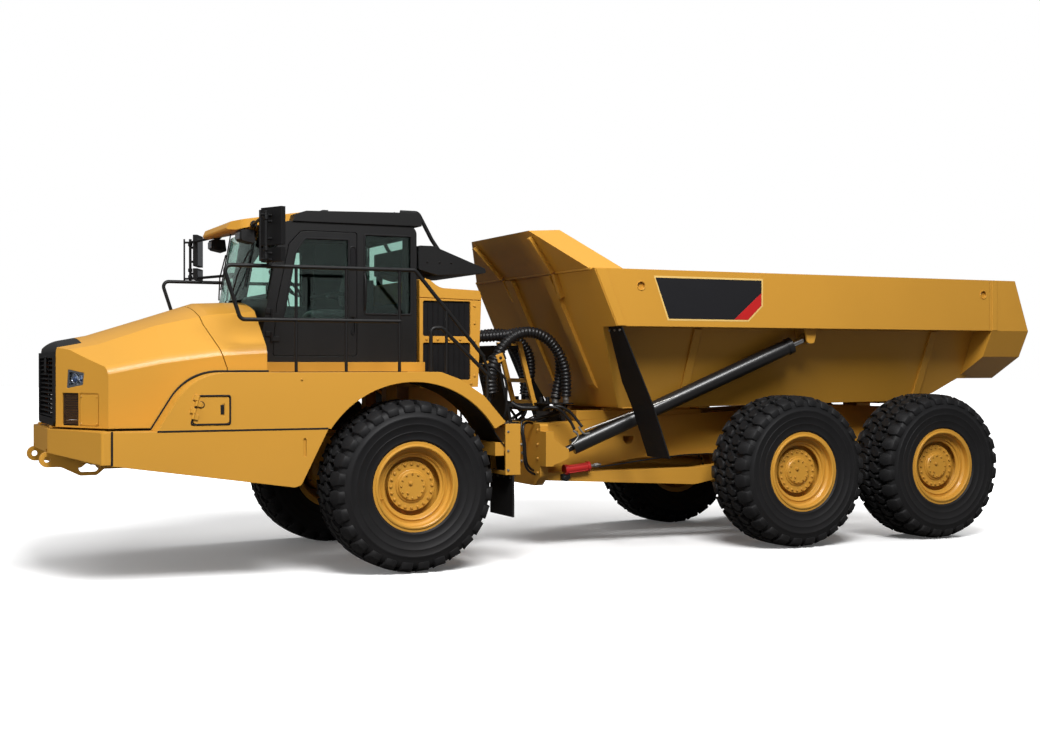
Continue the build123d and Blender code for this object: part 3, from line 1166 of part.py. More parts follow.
def splash_flaps():
    t = 15
    line = [(-2396, RAIL_BOTTOM - SEAT_GAP), (-2790, 1640), (-3000, 1060)]
    flap = side_prism(line + [(x - t, z) for x, z in reversed(line)], 1000, 1700)
    shape = section_prism([(HULL_TOP_HALF + 20, RAIL_BOTTOM), (HULL_TOP_HALF - 170, 1900),
                           (HULL_TOP_HALF - 170, 1000, 60),
                           (BODY_HALF - PANEL_GAP, 1000, 60), (BODY_HALF - PANEL_GAP, RAIL_BOTTOM)], -3100,
                          -2300)
    return paired(flap & shape)


# Rams: name, lower pin, rod eye, direction of the pins, ball joint's radius (0: none), sizes
RAMS = [
    ("hoist", RAM_BASE, RAM_TOP, (0, 1, 0), RAM_BALL, RAM_SIZES),
    ("steering", STEER_BASE, STEER_EYE, (0, 0, 1), 0, STEER_SIZES),
]


def ram_pair(base, top, across, ball, sizes):
    """Barrel and rod of a ram between two pins; the pins' axes run along `across`."""
    radius, rod_radius, eye, half_width, bore, start, gland, inner_end = sizes
    base, top, across = Vector(*base), Vector(*top), Vector(*across)
    along = (top - base).normalized()
    length = (top - base).length
    tube = round_bar(tuple(base + along * start), tuple(base + along * (length - gland)), radius)
    collar = round_bar(tuple(base + along * (length - gland - 60)), tuple(base + along * (length - gland)),
                       radius + 8)
    neck = round_bar(tuple(base), tuple(base + along * (start + 5)), half_width * 0.85)
    foot = round_bar(tuple(base - across * half_width), tuple(base + across * half_width), eye)
    barrel = joined(tube, collar, neck, foot)
    barrel -= round_bar(tuple(base + along * (start + 40)), tuple(base + along * length),
                        rod_radius + RUNNING_FIT)
    barrel -= round_bar(tuple(base - across * (half_width + 5)), tuple(base + across * (half_width + 5)),
                        bore)
    if ball:
        barrel -= Pos(*base) * Solid.make_sphere(ball, angle1=-90, angle2=90)
    shaft = round_bar(tuple(base + along * inner_end), tuple(top), rod_radius)
    head = round_bar(tuple(top - across * half_width), tuple(top + across * half_width), eye * 0.72)
    return barrel, joined(shaft, head)


def export_node(node, solids):
    """Move one node's solids to the truck's own origin and write them."""
    shift = Pos((TAIL_REACH - NOSE_REACH) / 2, 0, 0)
    pieces = [shift * solid for shape in solids for solid in shape.solids()]
    export_step(Compound(pieces), f"parts/{node}.step")


def main():
    os.makedirs("parts", exist_ok=True)
    nodes = {
        "front_chassis": front_chassis(), "engine_block": engine_block(), "front_axle": front_axle(),
        "bumper": bumper(), "hood_shell": hood_shell(), "hood_cap": hood_cap(), "grille": grille(),
        "headlamps": headlamps(), "cowl": cowl(), "fenders": fenders(), "side_boxes": side_boxes(),
        "fender_hatch": hatch(), "cab_shell": cab_shell(), "cab_roof": cab_roof(),
             "roof_visor": roof_visor(),
        "roof_lamps": roof_lamps(), "cab_glass": cab_glass(), "cab_interior": cab_interior(),
        "seat_cushions": seat_cushions(), "left_door": left_door(), "left_door_glass": left_door_glass(),
        "cooling_housing": cooling_housing(), "cooling_mesh": cooling_mesh(), "rear_guard": rear_guard(),
        "handrails": paired(handrails()), "mirrors": paired(mirrors()),
             "access_steps": paired(access_steps()),
        "mud_flaps": mud_flaps(), "hitch_yoke": hitch_yoke(), "hose_tower": hose_tower(),
        "rear_chassis": rear_chassis(), "tail_lamps": tail_lamps(), "rear_axles": rear_axles(),
        "walking_beams": walking_beams(), "trailing_links": trailing_links(), "dump_shell": dump_shell(),
        "headboard": headboard(), "splash_flaps": splash_flaps(),
    }
    for name, base, top, across, ball, sizes in RAMS:
        barrel, rod = ram_pair(base, top, across, ball, sizes)
        nodes[f"{name}_barrel_left"], nodes[f"{name}_barrel_right"] = [barrel], [mirrored(barrel)]
        nodes[f"{name}_rod_left"], nodes[f"{name}_rod_right"] = [rod], [mirrored(rod)]
    tyre, rim = wheel_tyre(), wheel_rim()
    for name, x, side in WHEELS:
        nodes[f"tyre_{name}"] = [on_axle(tyre, x, side)]
        nodes[f"rim_{name}"] = [on_axle(rim, x, side)]
    for node, solids in nodes.items():
        export_node(node, solids)


main()
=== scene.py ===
import json
from math import cos, pi, radians, sin, sqrt

import bmesh
import bpy
from mathutils import Matrix, Vector


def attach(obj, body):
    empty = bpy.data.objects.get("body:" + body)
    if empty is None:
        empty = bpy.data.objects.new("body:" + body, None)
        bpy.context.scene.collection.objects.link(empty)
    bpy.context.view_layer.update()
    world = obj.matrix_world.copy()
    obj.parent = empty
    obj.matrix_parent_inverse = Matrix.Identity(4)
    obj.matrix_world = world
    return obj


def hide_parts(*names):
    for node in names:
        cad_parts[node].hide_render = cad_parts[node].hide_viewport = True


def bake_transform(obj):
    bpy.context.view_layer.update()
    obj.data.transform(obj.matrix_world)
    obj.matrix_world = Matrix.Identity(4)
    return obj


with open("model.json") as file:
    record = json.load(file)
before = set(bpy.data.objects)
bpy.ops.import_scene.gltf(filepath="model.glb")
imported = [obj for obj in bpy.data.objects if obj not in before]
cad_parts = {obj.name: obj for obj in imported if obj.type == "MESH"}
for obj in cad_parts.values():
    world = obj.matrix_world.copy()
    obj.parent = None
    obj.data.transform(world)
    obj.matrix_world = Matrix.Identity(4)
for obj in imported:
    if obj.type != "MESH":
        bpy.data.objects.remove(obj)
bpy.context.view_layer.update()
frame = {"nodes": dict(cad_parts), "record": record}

bl_info = {
    "name": "Articulated dump truck finish",
    "version": (1, 0, 0),
    "blender": (4, 5, 0),
    "location": "3D View > Sidebar > Dump truck",
    "description": "Dresses the packed dump truck: paint, tyres, rims, lamps, hoses, cab trim and the studio",
    "category": "Object",
}

NODES = frame["nodes"]

# X of the front axle. Nearly all places below are measured from it, and moved by `at` or `fitted`.
FRONT_AXLE_X = 2.36
AXLES = {"front": 0.0, "middle": -4.716, "rear": -6.745}
SIDES = {"left": 1, "right": -1}
# Wheels: how far behind the front axle, and on which side
WHEELS = {f"{axle}_{end}": (x, side) for axle, x in AXLES.items() for end, side in SIDES.items()}
WHEEL_RADIUS = 0.87
HALF_TRACK = 1.384


def at(x, y, z):
    """A point given from the front axle, in the frame's own place."""
    return Vector((x + FRONT_AXLE_X, y, z))


# ---- Settings


class PaintSettings(bpy.types.PropertyGroup):
    yellow: bpy.props.FloatVectorProperty(
        name="Body yellow", description="Paint of the frames, hood and load body",
        default=(0.56, 0.275, 0.034), size=3, min=0, max=1, subtype="COLOR")
    black: bpy.props.FloatVectorProperty(
        name="Cab black", description="Paint of the cab, rails and mirrors",
        default=(0.0055, 0.0055, 0.006), size=3, min=0, max=1, subtype="COLOR")
    rubber: bpy.props.FloatVectorProperty(
        name="Tyre rubber", description="Colour of the tyres", default=(0.0095, 0.0095, 0.0105),
        size=3, min=0, max=1, subtype="COLOR")
    dust: bpy.props.FloatVectorProperty(
        name="Dust", description="Colour of the thin dust on low surfaces", default=(0.20, 0.15, 0.10), size=3,
        min=0, max=1, subtype="COLOR")
    rounding: bpy.props.FloatProperty(
        name="Edge rounding", description="Radius to which hard edges are softened",
        default=0.008, min=0, max=0.05, unit="LENGTH")


class TyreSettings(bpy.types.PropertyGroup):
    pitches: bpy.props.IntProperty(
        name="Tread pitches", description="How often the tread pattern repeats round a tyre",
        default=28, min=8, max=60)
    depth: bpy.props.FloatProperty(
        name="Tread depth", description="Height of the tread blocks",
        default=0.048, min=0.01, max=0.1, unit="LENGTH")
    rim_bolts: bpy.props.IntProperty(
        name="Hub bolts", description="Bolts round each hub", default=20, min=4, max=40)


class StageSettings(bpy.types.PropertyGroup):
    floor: bpy.props.FloatVectorProperty(
        name="Floor", description="Colour of the floor", default=(1.0, 1.0, 1.0), size=3, min=0, max=1,
        subtype="COLOR")
    key: bpy.props.FloatProperty(
        name="Key lamp", description="Power of the large lamp", default=3400, min=0, unit="POWER")
    sky: bpy.props.FloatProperty(
        name="Sky", description="Strength of the even light from above", default=0.44, min=0)


# ---- Mesh helpers


def linked(name, data):
    """A new object for a mesh, lamp or camera, in the scene."""
    thing = bpy.data.objects.new(name, data)
    bpy.context.scene.collection.objects.link(thing)
    return thing


def mesh_from(name, bm):
    """A mesh with its faces turned outward, from a bmesh that is freed."""
    mesh = bpy.data.meshes.new(name)
    bmesh.ops.recalc_face_normals(bm, faces=bm.faces)
    bm.to_mesh(mesh)
    bm.free()
    return mesh


def object_from(name, mesh, body, look, smooth=35):
    """An object for a mesh, riding on a body, with the finish of its look."""
    finish, slot = LOOKS[look]
    piece = linked(name, mesh)
    mesh.materials.clear()
    mesh.materials.append(material_named(finish))
    mesh.shade_smooth()
    if smooth < 180:
        mesh.set_sharp_from_angle(angle=radians(smooth))
    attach(piece, body)
    return piece


def add_box(bm, low, high, matrix=Matrix()):
    """A box between two corners."""
    corners = [Vector((x, y, z)) for x in (low[0], high[0]) for y in (low[1], high[1]) for z in (low[2], high[2])]
    verts = [bm.verts.new(matrix @ c) for c in corners]
    for loop in ((0, 1, 3, 2), (4, 6, 7, 5), (0, 4, 5, 1), (2, 3, 7, 6), (0, 2, 6, 4), (1, 5, 7, 3)):
        bm.faces.new([verts[i] for i in loop])


def add_rod(bm, start, end, radius, sides=16, end_radius=None):
    """A round rod between two points."""
    start, end = Vector(start), Vector(end)
    turn = (end - start).to_track_quat("Z", "Y").to_matrix().to_4x4()
    top = radius if end_radius is None else end_radius
    rings = []
    for point, r in ((start, radius), (end, top)):
        ring = []
        for i in range(sides):
            a = 2 * pi * i / sides
            ring.append(bm.verts.new(Matrix.Translation(point) @ turn @ Vector((r * cos(a), r * sin(a), 0))))
        rings.append(ring)
    for i in range(sides):
        j = (i + 1) % sides
        bm.faces.new([rings[0][i], rings[0][j], rings[1][j], rings[1][i]])
    bm.faces.new(list(reversed(rings[0])))
    bm.faces.new(rings[1])


def add_turned(bm, profile, sides):
    """A body of revolution about the Y axis, from a closed section of (radius, y)."""
    rings = []
    for i in range(sides):
        a = 2 * pi * i / sides
        rings.append([bm.verts.new((r * cos(a), y, r * sin(a))) for r, y in profile])
    count = len(profile)
    for i in range(sides):
        j = (i + 1) % sides
        for k in range(count):
            m = (k + 1) % count
            if profile[k][0] < 1e-6 and profile[m][0] < 1e-6:
                continue
            bm.faces.new([rings[i][k], rings[j][k], rings[j][m], rings[i][m]])
    bmesh.ops.remove_doubles(bm, verts=bm.verts, dist=1e-6)


def add_prism(bm, points, offset):
    """A prism: a flat outline carried along an offset."""
    near = [bm.verts.new(Vector(p)) for p in points]
    far = [bm.verts.new(Vector(p) + Vector(offset)) for p in points]
    bm.faces.new(near)
    bm.faces.new(list(reversed(far)))
    for i in range(len(near)):
        j = (i + 1) % len(near)
        bm.faces.new([near[j], near[i], far[i], far[j]])


def add_tube(bm, line, radius, sides=12):
    """A closed tube along points; radius is a number or a function of the way along."""
    line = [Vector(p) for p in line]
    rings, way, across = [], 0.0, None
    for i, point in enumerate(line):
        ahead = (line[min(i + 1, len(line) - 1)] - line[max(i - 1, 0)]).normalized()
        if across is None:
            across = ahead.orthogonal().normalized()
        across = (across - ahead * across.dot(ahead)).normalized()
        up = ahead.cross(across)
        r = radius(way) if callable(radius) else radius
        rings.append([bm.verts.new(point + (across * cos(2 * pi * k / sides) + up * sin(2 * pi * k / sides)) * r)
                      for k in range(sides)])
        if i + 1 < len(line):
            way += (line[i + 1] - point).length
    for ring, after in zip(rings, rings[1:]):
        for k in range(sides):
            m = (k + 1) % sides
            bm.faces.new([ring[k], ring[m], after[m], after[k]])
    bm.faces.new(list(reversed(rings[0])))
    bm.faces.new(rings[-1])


def route(points, resolution=10):
    """The points of the smooth line whose control points are given."""
    curve = bpy.data.curves.new("route", "CURVE")
    curve.dimensions = "3D"
    spline = curve.splines.new("NURBS")
    spline.points.add(len(points) - 1)
    for knot, place in zip(spline.points, points):
        knot.co = (*place, 1)
    spline.order_u = 3
    spline.use_endpoint_u = True
    spline.resolution_u = resolution
    carrier = bpy.data.objects.new("route", curve)
    mesh = bpy.data.meshes.new_from_object(carrier)
    line = [v.co.copy() for v in mesh.vertices]
    bpy.data.objects.remove(carrier)
    bpy.data.curves.remove(curve)
    bpy.data.meshes.remove(mesh)
    return line


def add_strip(bm, line, y0, y1, thickness):
    """A sheet across the truck along a line of (x, z) points."""
    rings = []
    for i, (x, z) in enumerate(line):
        x0, z0 = line[max(0, i - 1)]
        x1, z1 = line[min(len(line) - 1, i + 1)]
        out = Vector((z1 - z0, 0, x0 - x1)).normalized() * thickness
        here = Vector((x, 0, z))
        rings.append([bm.verts.new(here + Vector((0, y, 0)) + out * k)
                      for y, k in ((y0, 0), (y1, 0), (y1, 1), (y0, 1))])
    for a, b in zip(rings, rings[1:]):
        for i in range(4):
            bm.faces.new((a[i], a[(i + 1) % 4], b[(i + 1) % 4], b[i]))
    bm.faces.new(rings[0])
    bm.faces.new(reversed(rings[-1]))


def spaced(line, step):
    """A line's points set at even steps."""
    length = sum((b - a).length for a, b in zip(line, line[1:]))
    count = max(2, round(length / step))
    step = length / count
    points, left = [line[0]], step
    for a, b in zip(line, line[1:]):
        run = (b - a).length
        while run > 0 and left <= run + 1e-9:
            a = a + (b - a) * (left / run)
            points.append(a)
            run = (b - a).length
            left = step
        left -= run
    return points if len(points) > count else points + [line[-1]]


def circle(centre, first, normal, count=32):
    """Points round a circle and back to the first one, given as a step from the centre."""
    return [Vector(centre) + Matrix.Rotation(2 * pi * i / count, 4, normal) @ Vector(first)
            for i in range(count + 1)]


def add_dome(bm, base, normal, radius, height, steps):
    """A lens of stacked rings that rounds off from its base along a direction."""
    for step in range(steps):
        a, b = step / steps * pi / 2, (step + 1) / steps * pi / 2
        start, end = base + normal * height * sin(a), base + normal * (height * sin(b) + 1e-4)
        add_rod(bm, start, end, radius * cos(a), 32, max(0.002, radius * cos(b)))


def add_bolt(bm, place, normal, radius):
    """A hexagon bolt head on its washer."""
    place, normal = Vector(place), Vector(normal).normalized()
    add_rod(bm, place - normal * 0.003, place + normal * radius * 0.25, radius * 1.4, 16)
    add_rod(bm, place + normal * radius * 0.2, place + normal * radius * 0.8, radius, 6)
    add_rod(bm, place + normal * radius * 0.8, place + normal * radius, radius, 6, radius * 0.84)


def add_twin(bm):
    """Adds the mirror image on the truck's other side."""
    copy = bmesh.ops.duplicate(bm, geom=bm.verts[:] + bm.edges[:] + bm.faces[:])["geom"]
    for item in copy:
        if isinstance(item, bmesh.types.BMVert):
            item.co.y = -item.co.y
    bmesh.ops.reverse_faces(bm, faces=[item for item in copy if isinstance(item, bmesh.types.BMFace)])


def fitted(name, bm, body, look, twin=False, rounding=0.0, smooth=35):
    """A piece measured from the front axle, moved to its place, with a twin and rounded edges if asked for."""
    if twin:
        add_twin(bm)
    bm.transform(Matrix.Translation((FRONT_AXLE_X, 0, 0)))
    piece = object_from(name, mesh_from(name, bm), body, look, smooth)
    if rounding:
        modifier = piece.modifiers.new("Rounded edges", "BEVEL")
        modifier.width = rounding
        modifier.segments = 2
        modifier.limit_method = "ANGLE"
        modifier.angle_limit = radians(30)
        modifier.harden_normals = True


def built(name, body, look, shapes, twin=False, rounding=0.0, smooth=35):
    """A piece made of shapes, each a helper and what it is given."""
    bm = bmesh.new()
    for add, *values in shapes:
        add(bm, *values)
    fitted(name, bm, body, look, twin, rounding, smooth)


# ---- Node groups


def wire(tree, nodes, links, **known):
    """Adds nodes, each as type, properties and socket values, and joins them by node.label or node.number."""
    known = dict(known)
    for name, (kind, properties, values) in nodes.items():
        node = known[name] = tree.nodes.new(kind)
        for key, value in properties.items():
            setattr(node, key, value)
        for key, value in values.items():
            node.inputs[key].default_value = value
    for line in links:
        (source, out), (target, into) = (end.split(".") for end in line.split(" > "))
        tree.links.new(known[source].outputs[int(out) if out.isdigit() else out],
                       known[target].inputs[int(into) if into.isdigit() else into])


# Nodes and links that both ways of repeating a mesh share
COPYING = {
    "instance": ("GeometryNodeGeometryToInstance", {}, {}),
    "copies": ("GeometryNodeDuplicateElements", {"domain": "INSTANCE"}, {}),
    "real": ("GeometryNodeRealizeInstances", {}, {}),
    "paint": ("GeometryNodeSetMaterial", {}, {}),
}
COPYING_LINKS = [
    "inside.Geometry > instance.0", "instance.0 > copies.Geometry", "inside.Count > copies.Amount",
    "real.0 > paint.Geometry", "inside.Material > paint.Material", "paint.0 > outside.Geometry",
]
RING, ROW = "Copies round an axle", "Copies in a row"
# Node groups: kind, inputs as (name, type, value if any), outputs, nodes, links
GROUPS = {
    RING: (
        "GeometryNodeTree",
        [("Geometry", "Geometry"), ("Count", "Int", 12), ("Centre", "Vector"), ("Axis", "Vector", (0, 1, 0)),
         ("Material", "Material")],
        [("Geometry", "Geometry")],
        {**COPYING,
         "share": ("ShaderNodeMath", {"operation": "DIVIDE"}, {}),
         "angle": ("ShaderNodeMath", {"operation": "MULTIPLY"}, {1: 2 * pi}),
         "turn": ("FunctionNodeAxisAngleToRotation", {}, {}),
         "rotate": ("GeometryNodeRotateInstances", {}, {"Local Space": False})},
        [*COPYING_LINKS, "copies.Duplicate Index > share.0", "inside.Count > share.1", "share.0 > angle.0",
         "inside.Axis > turn.Axis", "angle.0 > turn.Angle", "copies.Geometry > rotate.Instances",
         "turn.0 > rotate.Rotation", "inside.Centre > rotate.Pivot Point", "rotate.0 > real.0"]),
    ROW: (
        "GeometryNodeTree",
        [("Geometry", "Geometry"), ("Count", "Int", 5), ("Step", "Vector"), ("Material", "Material")],
        [("Geometry", "Geometry")],
        {**COPYING,
         "scale": ("ShaderNodeVectorMath", {"operation": "SCALE"}, {}),
         "move": ("GeometryNodeTranslateInstances", {}, {"Local Space": False})},
        [*COPYING_LINKS, "inside.Step > scale.0", "copies.Duplicate Index > scale.Scale",
         "copies.Geometry > move.Instances", "scale.0 > move.Translation", "move.0 > real.0"]),
    # Slight cloudy change in a colour, and a fine grain for bump
    "Uneven surface": (
        "ShaderNodeTree",
        [("Colour", "Color", (0.5, 0.5, 0.5, 1)), ("Cloud scale", "Float", 1.5), ("Cloud amount", "Float", 0.1),
         ("Grain scale", "Float", 300)],
        [("Colour", "Color"), ("Grain", "Float"), ("Cloud", "Float")],
        {"place": ("ShaderNodeTexCoord", {}, {}),
         "cloud": ("ShaderNodeTexNoise", {}, {"Detail": 4}),
         "grain": ("ShaderNodeTexNoise", {}, {"Detail": 3}),
         "spread": ("ShaderNodeMapRange", {}, {"From Min": 0.3, "From Max": 0.7}),
         "darker": ("ShaderNodeMath", {"operation": "SUBTRACT"}, {0: 1}),
         "shade": ("ShaderNodeVectorMath", {"operation": "SCALE"}, {})},
        ["place.Object > cloud.Vector", "place.Object > grain.Vector", "inside.Cloud scale > cloud.Scale",
         "inside.Grain scale > grain.Scale", "cloud.Fac > spread.Value", "inside.Cloud amount > spread.To Max",
         "spread.Result > darker.1", "inside.Colour > shade.0", "darker.0 > shade.Scale",
         "shade.0 > outside.Colour", "grain.Fac > outside.Grain", "cloud.Fac > outside.Cloud"]),
    # Thin dust that lies thicker near the ground
    "Settled dust": (
        "ShaderNodeTree",
        [("Colour", "Color", (0.5, 0.5, 0.5, 1)), ("Dust", "Color", (0.3, 0.25, 0.2, 1)),
         ("Amount", "Float", 0.2), ("Height", "Float", 2.0)],
        [("Colour", "Color"), ("Mask", "Float")],
        {"place": ("ShaderNodeTexCoord", {}, {}),
         "split": ("ShaderNodeSeparateXYZ", {}, {}),
         "fade": ("ShaderNodeMapRange", {}, {"From Min": 0, "To Min": 1, "To Max": 0.12}),
         "patch": ("ShaderNodeTexNoise", {}, {"Scale": 7, "Detail": 6}),
         "mask": ("ShaderNodeMath", {"operation": "MULTIPLY"}, {}),
         "amount": ("ShaderNodeMath", {"operation": "MULTIPLY"}, {}),
         "mix": ("ShaderNodeMix", {"data_type": "RGBA"}, {})},
        ["place.Object > split.0", "place.Object > patch.Vector", "split.Z > fade.Value",
         "inside.Height > fade.From Max", "fade.Result > mask.0", "patch.Fac > mask.1", "mask.0 > amount.0",
         "inside.Amount > amount.1", "amount.0 > mix.Factor", "inside.Colour > mix.A", "inside.Dust > mix.B",
         "mix.Result > outside.Colour", "amount.0 > outside.Mask"]),
}


def node_group(name):
    """A node group of the table, made on its first use."""
    if name in bpy.data.node_groups:
        return bpy.data.node_groups[name]
    kind, inputs, outputs, nodes, links = GROUPS[name]
    tree = bpy.data.node_groups.new(name, kind)
    for way, sockets in (("INPUT", inputs), ("OUTPUT", outputs)):
        for label, socket_kind, *value in sockets:
            socket = tree.interface.new_socket(name=label, in_out=way, socket_type=f"NodeSocket{socket_kind}")
            if value:
                socket.default_value = value[0]
    wire(tree, {"inside": ("NodeGroupInput", {}, {}), "outside": ("NodeGroupOutput", {}, {}), **nodes}, links)
    return tree


def add_copies(bm, seed, pattern, look, **inputs):
    """Adds what a repeating node group makes of a seed, its values given by socket name."""
    tree = node_group(pattern)
    carrier = linked("pattern carrier", mesh_from("pattern seed", seed))
    modifier = carrier.modifiers.new("Pattern", "NODES")
    modifier.node_group = tree
    inputs["Material"] = material_named(LOOKS[look][0])
    for item in tree.interface.items_tree:
        if item.in_out == "INPUT" and item.name in inputs:
            modifier[item.identifier] = inputs[item.name]
    graph = bpy.context.evaluated_depsgraph_get()
    mesh = bpy.data.meshes.new_from_object(carrier.evaluated_get(graph))
    bpy.data.objects.remove(carrier)
    bm.from_mesh(mesh)
    bpy.data.meshes.remove(mesh)


# ---- Materials

# Finishes: colour (or the setting that holds it), roughness, what else differs from a plain surface.
# An edge is a share of the edge rounding in the settings.
FINISHES = {
    "yellow paint": ("yellow", 0.42, {"coat": 0.12, "cloud": (0.7, 0.06), "grain": (420, 0.03),
                                      "dust": (0.10, 1.4), "edge": 1.0, "gloss": 0.3}),
    "black paint": ("black", 0.5, {"coat": 0.03, "cloud": (1.5, 0.2), "grain": (500, 0.04), "dust": (0.03, 3.0),
                                   "edge": 0.8, "gloss": 0.3}),
    "dark metal": ((0.006, 0.006, 0.007), 0.5, {"cloud": (4, 0.3), "grain": (300, 0.1), "dust": (0.03, 3.0),
                                                "rounding": 0.004, "gloss": 0.2}),
    "cast iron": ((0.09, 0.09, 0.092), 0.7, {"metallic": 0.5, "cloud": (6, 0.35), "grain": (120, 0.5),
                                             "dust": (0.2, 3.0), "rounding": 0.006}),
    "moulded plastic": ((0.03, 0.03, 0.032), 0.6, {"cloud": (3, 0.15), "grain": (600, 0.35), "rounding": 0.01}),
    "flap rubber": ((0.010, 0.010, 0.011), 0.7, {"cloud": (3, 0.25), "grain": (250, 0.3), "dust": (0.06, 2.0),
                                                 "rounding": 0.004, "gloss": 0.2}),
    "tyre rubber": ("rubber", 0.55, {"cloud": (5, 0.25), "grain": (200, 0.25), "dust": (0.02, 1.9), "sheen": 0.03,
                                     "gloss": 0.2}),
    "ram black": ((0.008, 0.008, 0.009), 0.34, {"coat": 0.15, "cloud": (4, 0.2), "grain": (400, 0.03),
                                                "dust": (0.05, 2.5), "rounding": 0.004}),
    "chrome": ((0.62, 0.63, 0.65), 0.12, {"metallic": 1.0, "cloud": (5, 0.05), "grain": (600, 0.02)}),
    "plated steel": ((0.36, 0.355, 0.34), 0.42, {"metallic": 0.9, "cloud": (20, 0.2), "grain": (400, 0.1),
                                                 "dust": (0.1, 2.5), "rounding": 0.002}),
    "red paint": ((0.5, 0.012, 0.012), 0.35, {"coat": 0.3, "cloud": (6, 0.15), "grain": (400, 0.05),
                                              "dust": (0.1, 2.0), "rounding": 0.003}),
    "lamp silver": ((0.34, 0.36, 0.39), 0.25, {"metallic": 0.85, "cloud": (9, 0.1), "grain": (500, 0.03),
                                               "rounding": 0.003}),
    "seat cloth": ((0.045, 0.045, 0.05), 0.9, {"cloud": (12, 0.2), "grain": (700, 0.6), "sheen": 0.4}),
    "hose rubber": ((0.007, 0.007, 0.008), 0.4, {"cloud": (8, 0.2), "grain": (260, 0.2), "dust": (0.02, 2.5),
                                                 "gloss": 0.35}),
    # The wire screen's yellow paint, darkened to brown as painted shade
    "yellow screen in painted shade": ((0.10, 0.055, 0.028), 0.6, {"metallic": 0.3, "cloud": (14, 0.3), "grain": (500, 0.2)}),
    "mirror face": ((0.22, 0.24, 0.27), 0.06, {"metallic": 1.0, "cloud": (3, 0.04), "grain": (500, 0.0)}),
    "panel edge": ((0.75, 0.50, 0.16), 0.4, {"cloud": (3, 0.06), "grain": (500, 0.03)}),
    "panel black": ((0.012, 0.012, 0.014), 0.32, {"cloud": (2, 0.12), "grain": (500, 0.03)}),
    "lamp blue": ((0.012, 0.03, 0.08), 0.12, {"coat": 0.4, "cloud": (20, 0.3), "grain": (400, 0.05)}),
}
# Glass: colour, how strongly it bends light
GLASSES = {"window glass": ((0.60, 0.80, 0.73), 1.45), "lamp cover glass": ((0.86, 0.91, 0.97), 1.12)}
# Finish of the CAD nodes in each slot, and of the nodes that get another one
SLOT_FINISHES = {
    "body_yellow": "yellow paint", "cab_black": "black paint", "grille_black": "dark metal",
    "engine_iron": "cast iron", "interior_plastic": "moulded plastic", "seat_fabric": "seat cloth",
    "window_glass": "window glass", "rubber_flap": "flap rubber", "ram_black": "ram black",
    "rod_chrome": "chrome", "tyre_rubber": "tyre rubber", "lamp_lens": "lamp silver",
}
NODE_FINISHES = {"tail_lamps": "black paint"}
# What a piece looks like: its finish and its slot
LOOKS = {
    "yellow": ("yellow paint", "body_yellow"), "pale": ("panel edge", "body_yellow"),
    "red": ("red paint", "body_yellow"), "black": ("black paint", "cab_black"),
    "panel": ("panel black", "cab_black"), "grille": ("black paint", "grille_black"),
    "dark": ("dark metal", "grille_black"), "wire": ("yellow screen in painted shade", "grille_black"),
    "iron": ("cast iron", "engine_iron"), "plastic": ("moulded plastic", "interior_plastic"),
    "cloth": ("seat cloth", "seat_fabric"), "rubber": ("flap rubber", "rubber_flap"),
    "hose": ("hose rubber", "rubber_flap"), "tyre": ("tyre rubber", "tyre_rubber"),
    "steel": ("plated steel", "rod_chrome"), "chrome": ("chrome", "rod_chrome"),
    "mirror": ("mirror face", "rod_chrome"), "lamp": ("lamp silver", "lamp_lens"),
    "blue lamp": ("lamp blue", "lamp_lens"), "red lamp": ("red paint", "lamp_lens"),
    "cover": ("lamp cover glass", "window_glass"),
}


def fill_finish(tree, shader, colour, roughness, metallic=0.0, coat=0.0, cloud=(1.5, 0.08), grain=(300, 0.05),
                dust=(0.0, 2.0), rounding=0.0, edge=0.0, sheen=0.0, gloss=0.5):
    """A surface with cloudy colour, grain bump, dust and softened edges."""
    paint = bpy.context.scene.truck_paint
    if isinstance(colour, str):
        colour = getattr(paint, colour)
    radius = rounding or edge * paint.rounding
    for label, value in (("Metallic", metallic), ("Coat Weight", coat), ("Specular IOR Level", gloss),
                         ("Coat Roughness", 0.08), ("Sheen Weight", sheen)):
        shader.inputs[label].default_value = value
    nodes = {
        "uneven": ("ShaderNodeGroup", {"node_tree": node_group("Uneven surface")},
                   {"Colour": (*colour, 1), "Cloud scale": cloud[0], "Cloud amount": cloud[1],
                    "Grain scale": grain[0]}),
        "dusty": ("ShaderNodeGroup", {"node_tree": node_group("Settled dust")},
                  {"Dust": (*paint.dust, 1), "Amount": dust[0], "Height": dust[1]}),
        "rough": ("ShaderNodeMapRange", {}, {"To Min": roughness, "To Max": min(1, roughness + 0.5)}),
        "bump": ("ShaderNodeBump", {}, {"Strength": grain[1], "Distance": 0.002}),
    }
    links = ["uneven.Colour > dusty.Colour", "dusty.Colour > shader.Base Color", "dusty.Mask > rough.Value",
             "rough.Result > shader.Roughness", "uneven.Grain > bump.Height", "bump.0 > shader.Normal"]
    if radius:
        nodes["soft"] = ("ShaderNodeBevel", {"samples": 4}, {"Radius": radius})
        links.append("soft.0 > bump.Normal")
    wire(tree, nodes, links, shader=shader)


def fill_glass(tree, shader, colour, bending):
    """Tinted glass, seen through from both sides."""
    for label, value in (("Transmission Weight", 1.0), ("Roughness", 0.02), ("IOR", bending)):
        shader.inputs[label].default_value = value
    wire(tree, {"uneven": ("ShaderNodeGroup", {"node_tree": node_group("Uneven surface")},
                           {"Colour": (*colour, 1), "Cloud amount": 0.05})},
         ["uneven.Colour > shader.Base Color"], shader=shader)


def material_named(name):
    """A finish or glass of the tables, made on its first use."""
    if name in bpy.data.materials:
        return bpy.data.materials[name]
    material = bpy.data.materials.new(name)
    material.use_nodes = True
    tree = material.node_tree
    shader = tree.nodes["Principled BSDF"]
    if name in GLASSES:
        fill_glass(tree, shader, *GLASSES[name])
    else:
        colour, roughness, rest = FINISHES[name]
        fill_finish(tree, shader, colour, roughness, **rest)
    return material


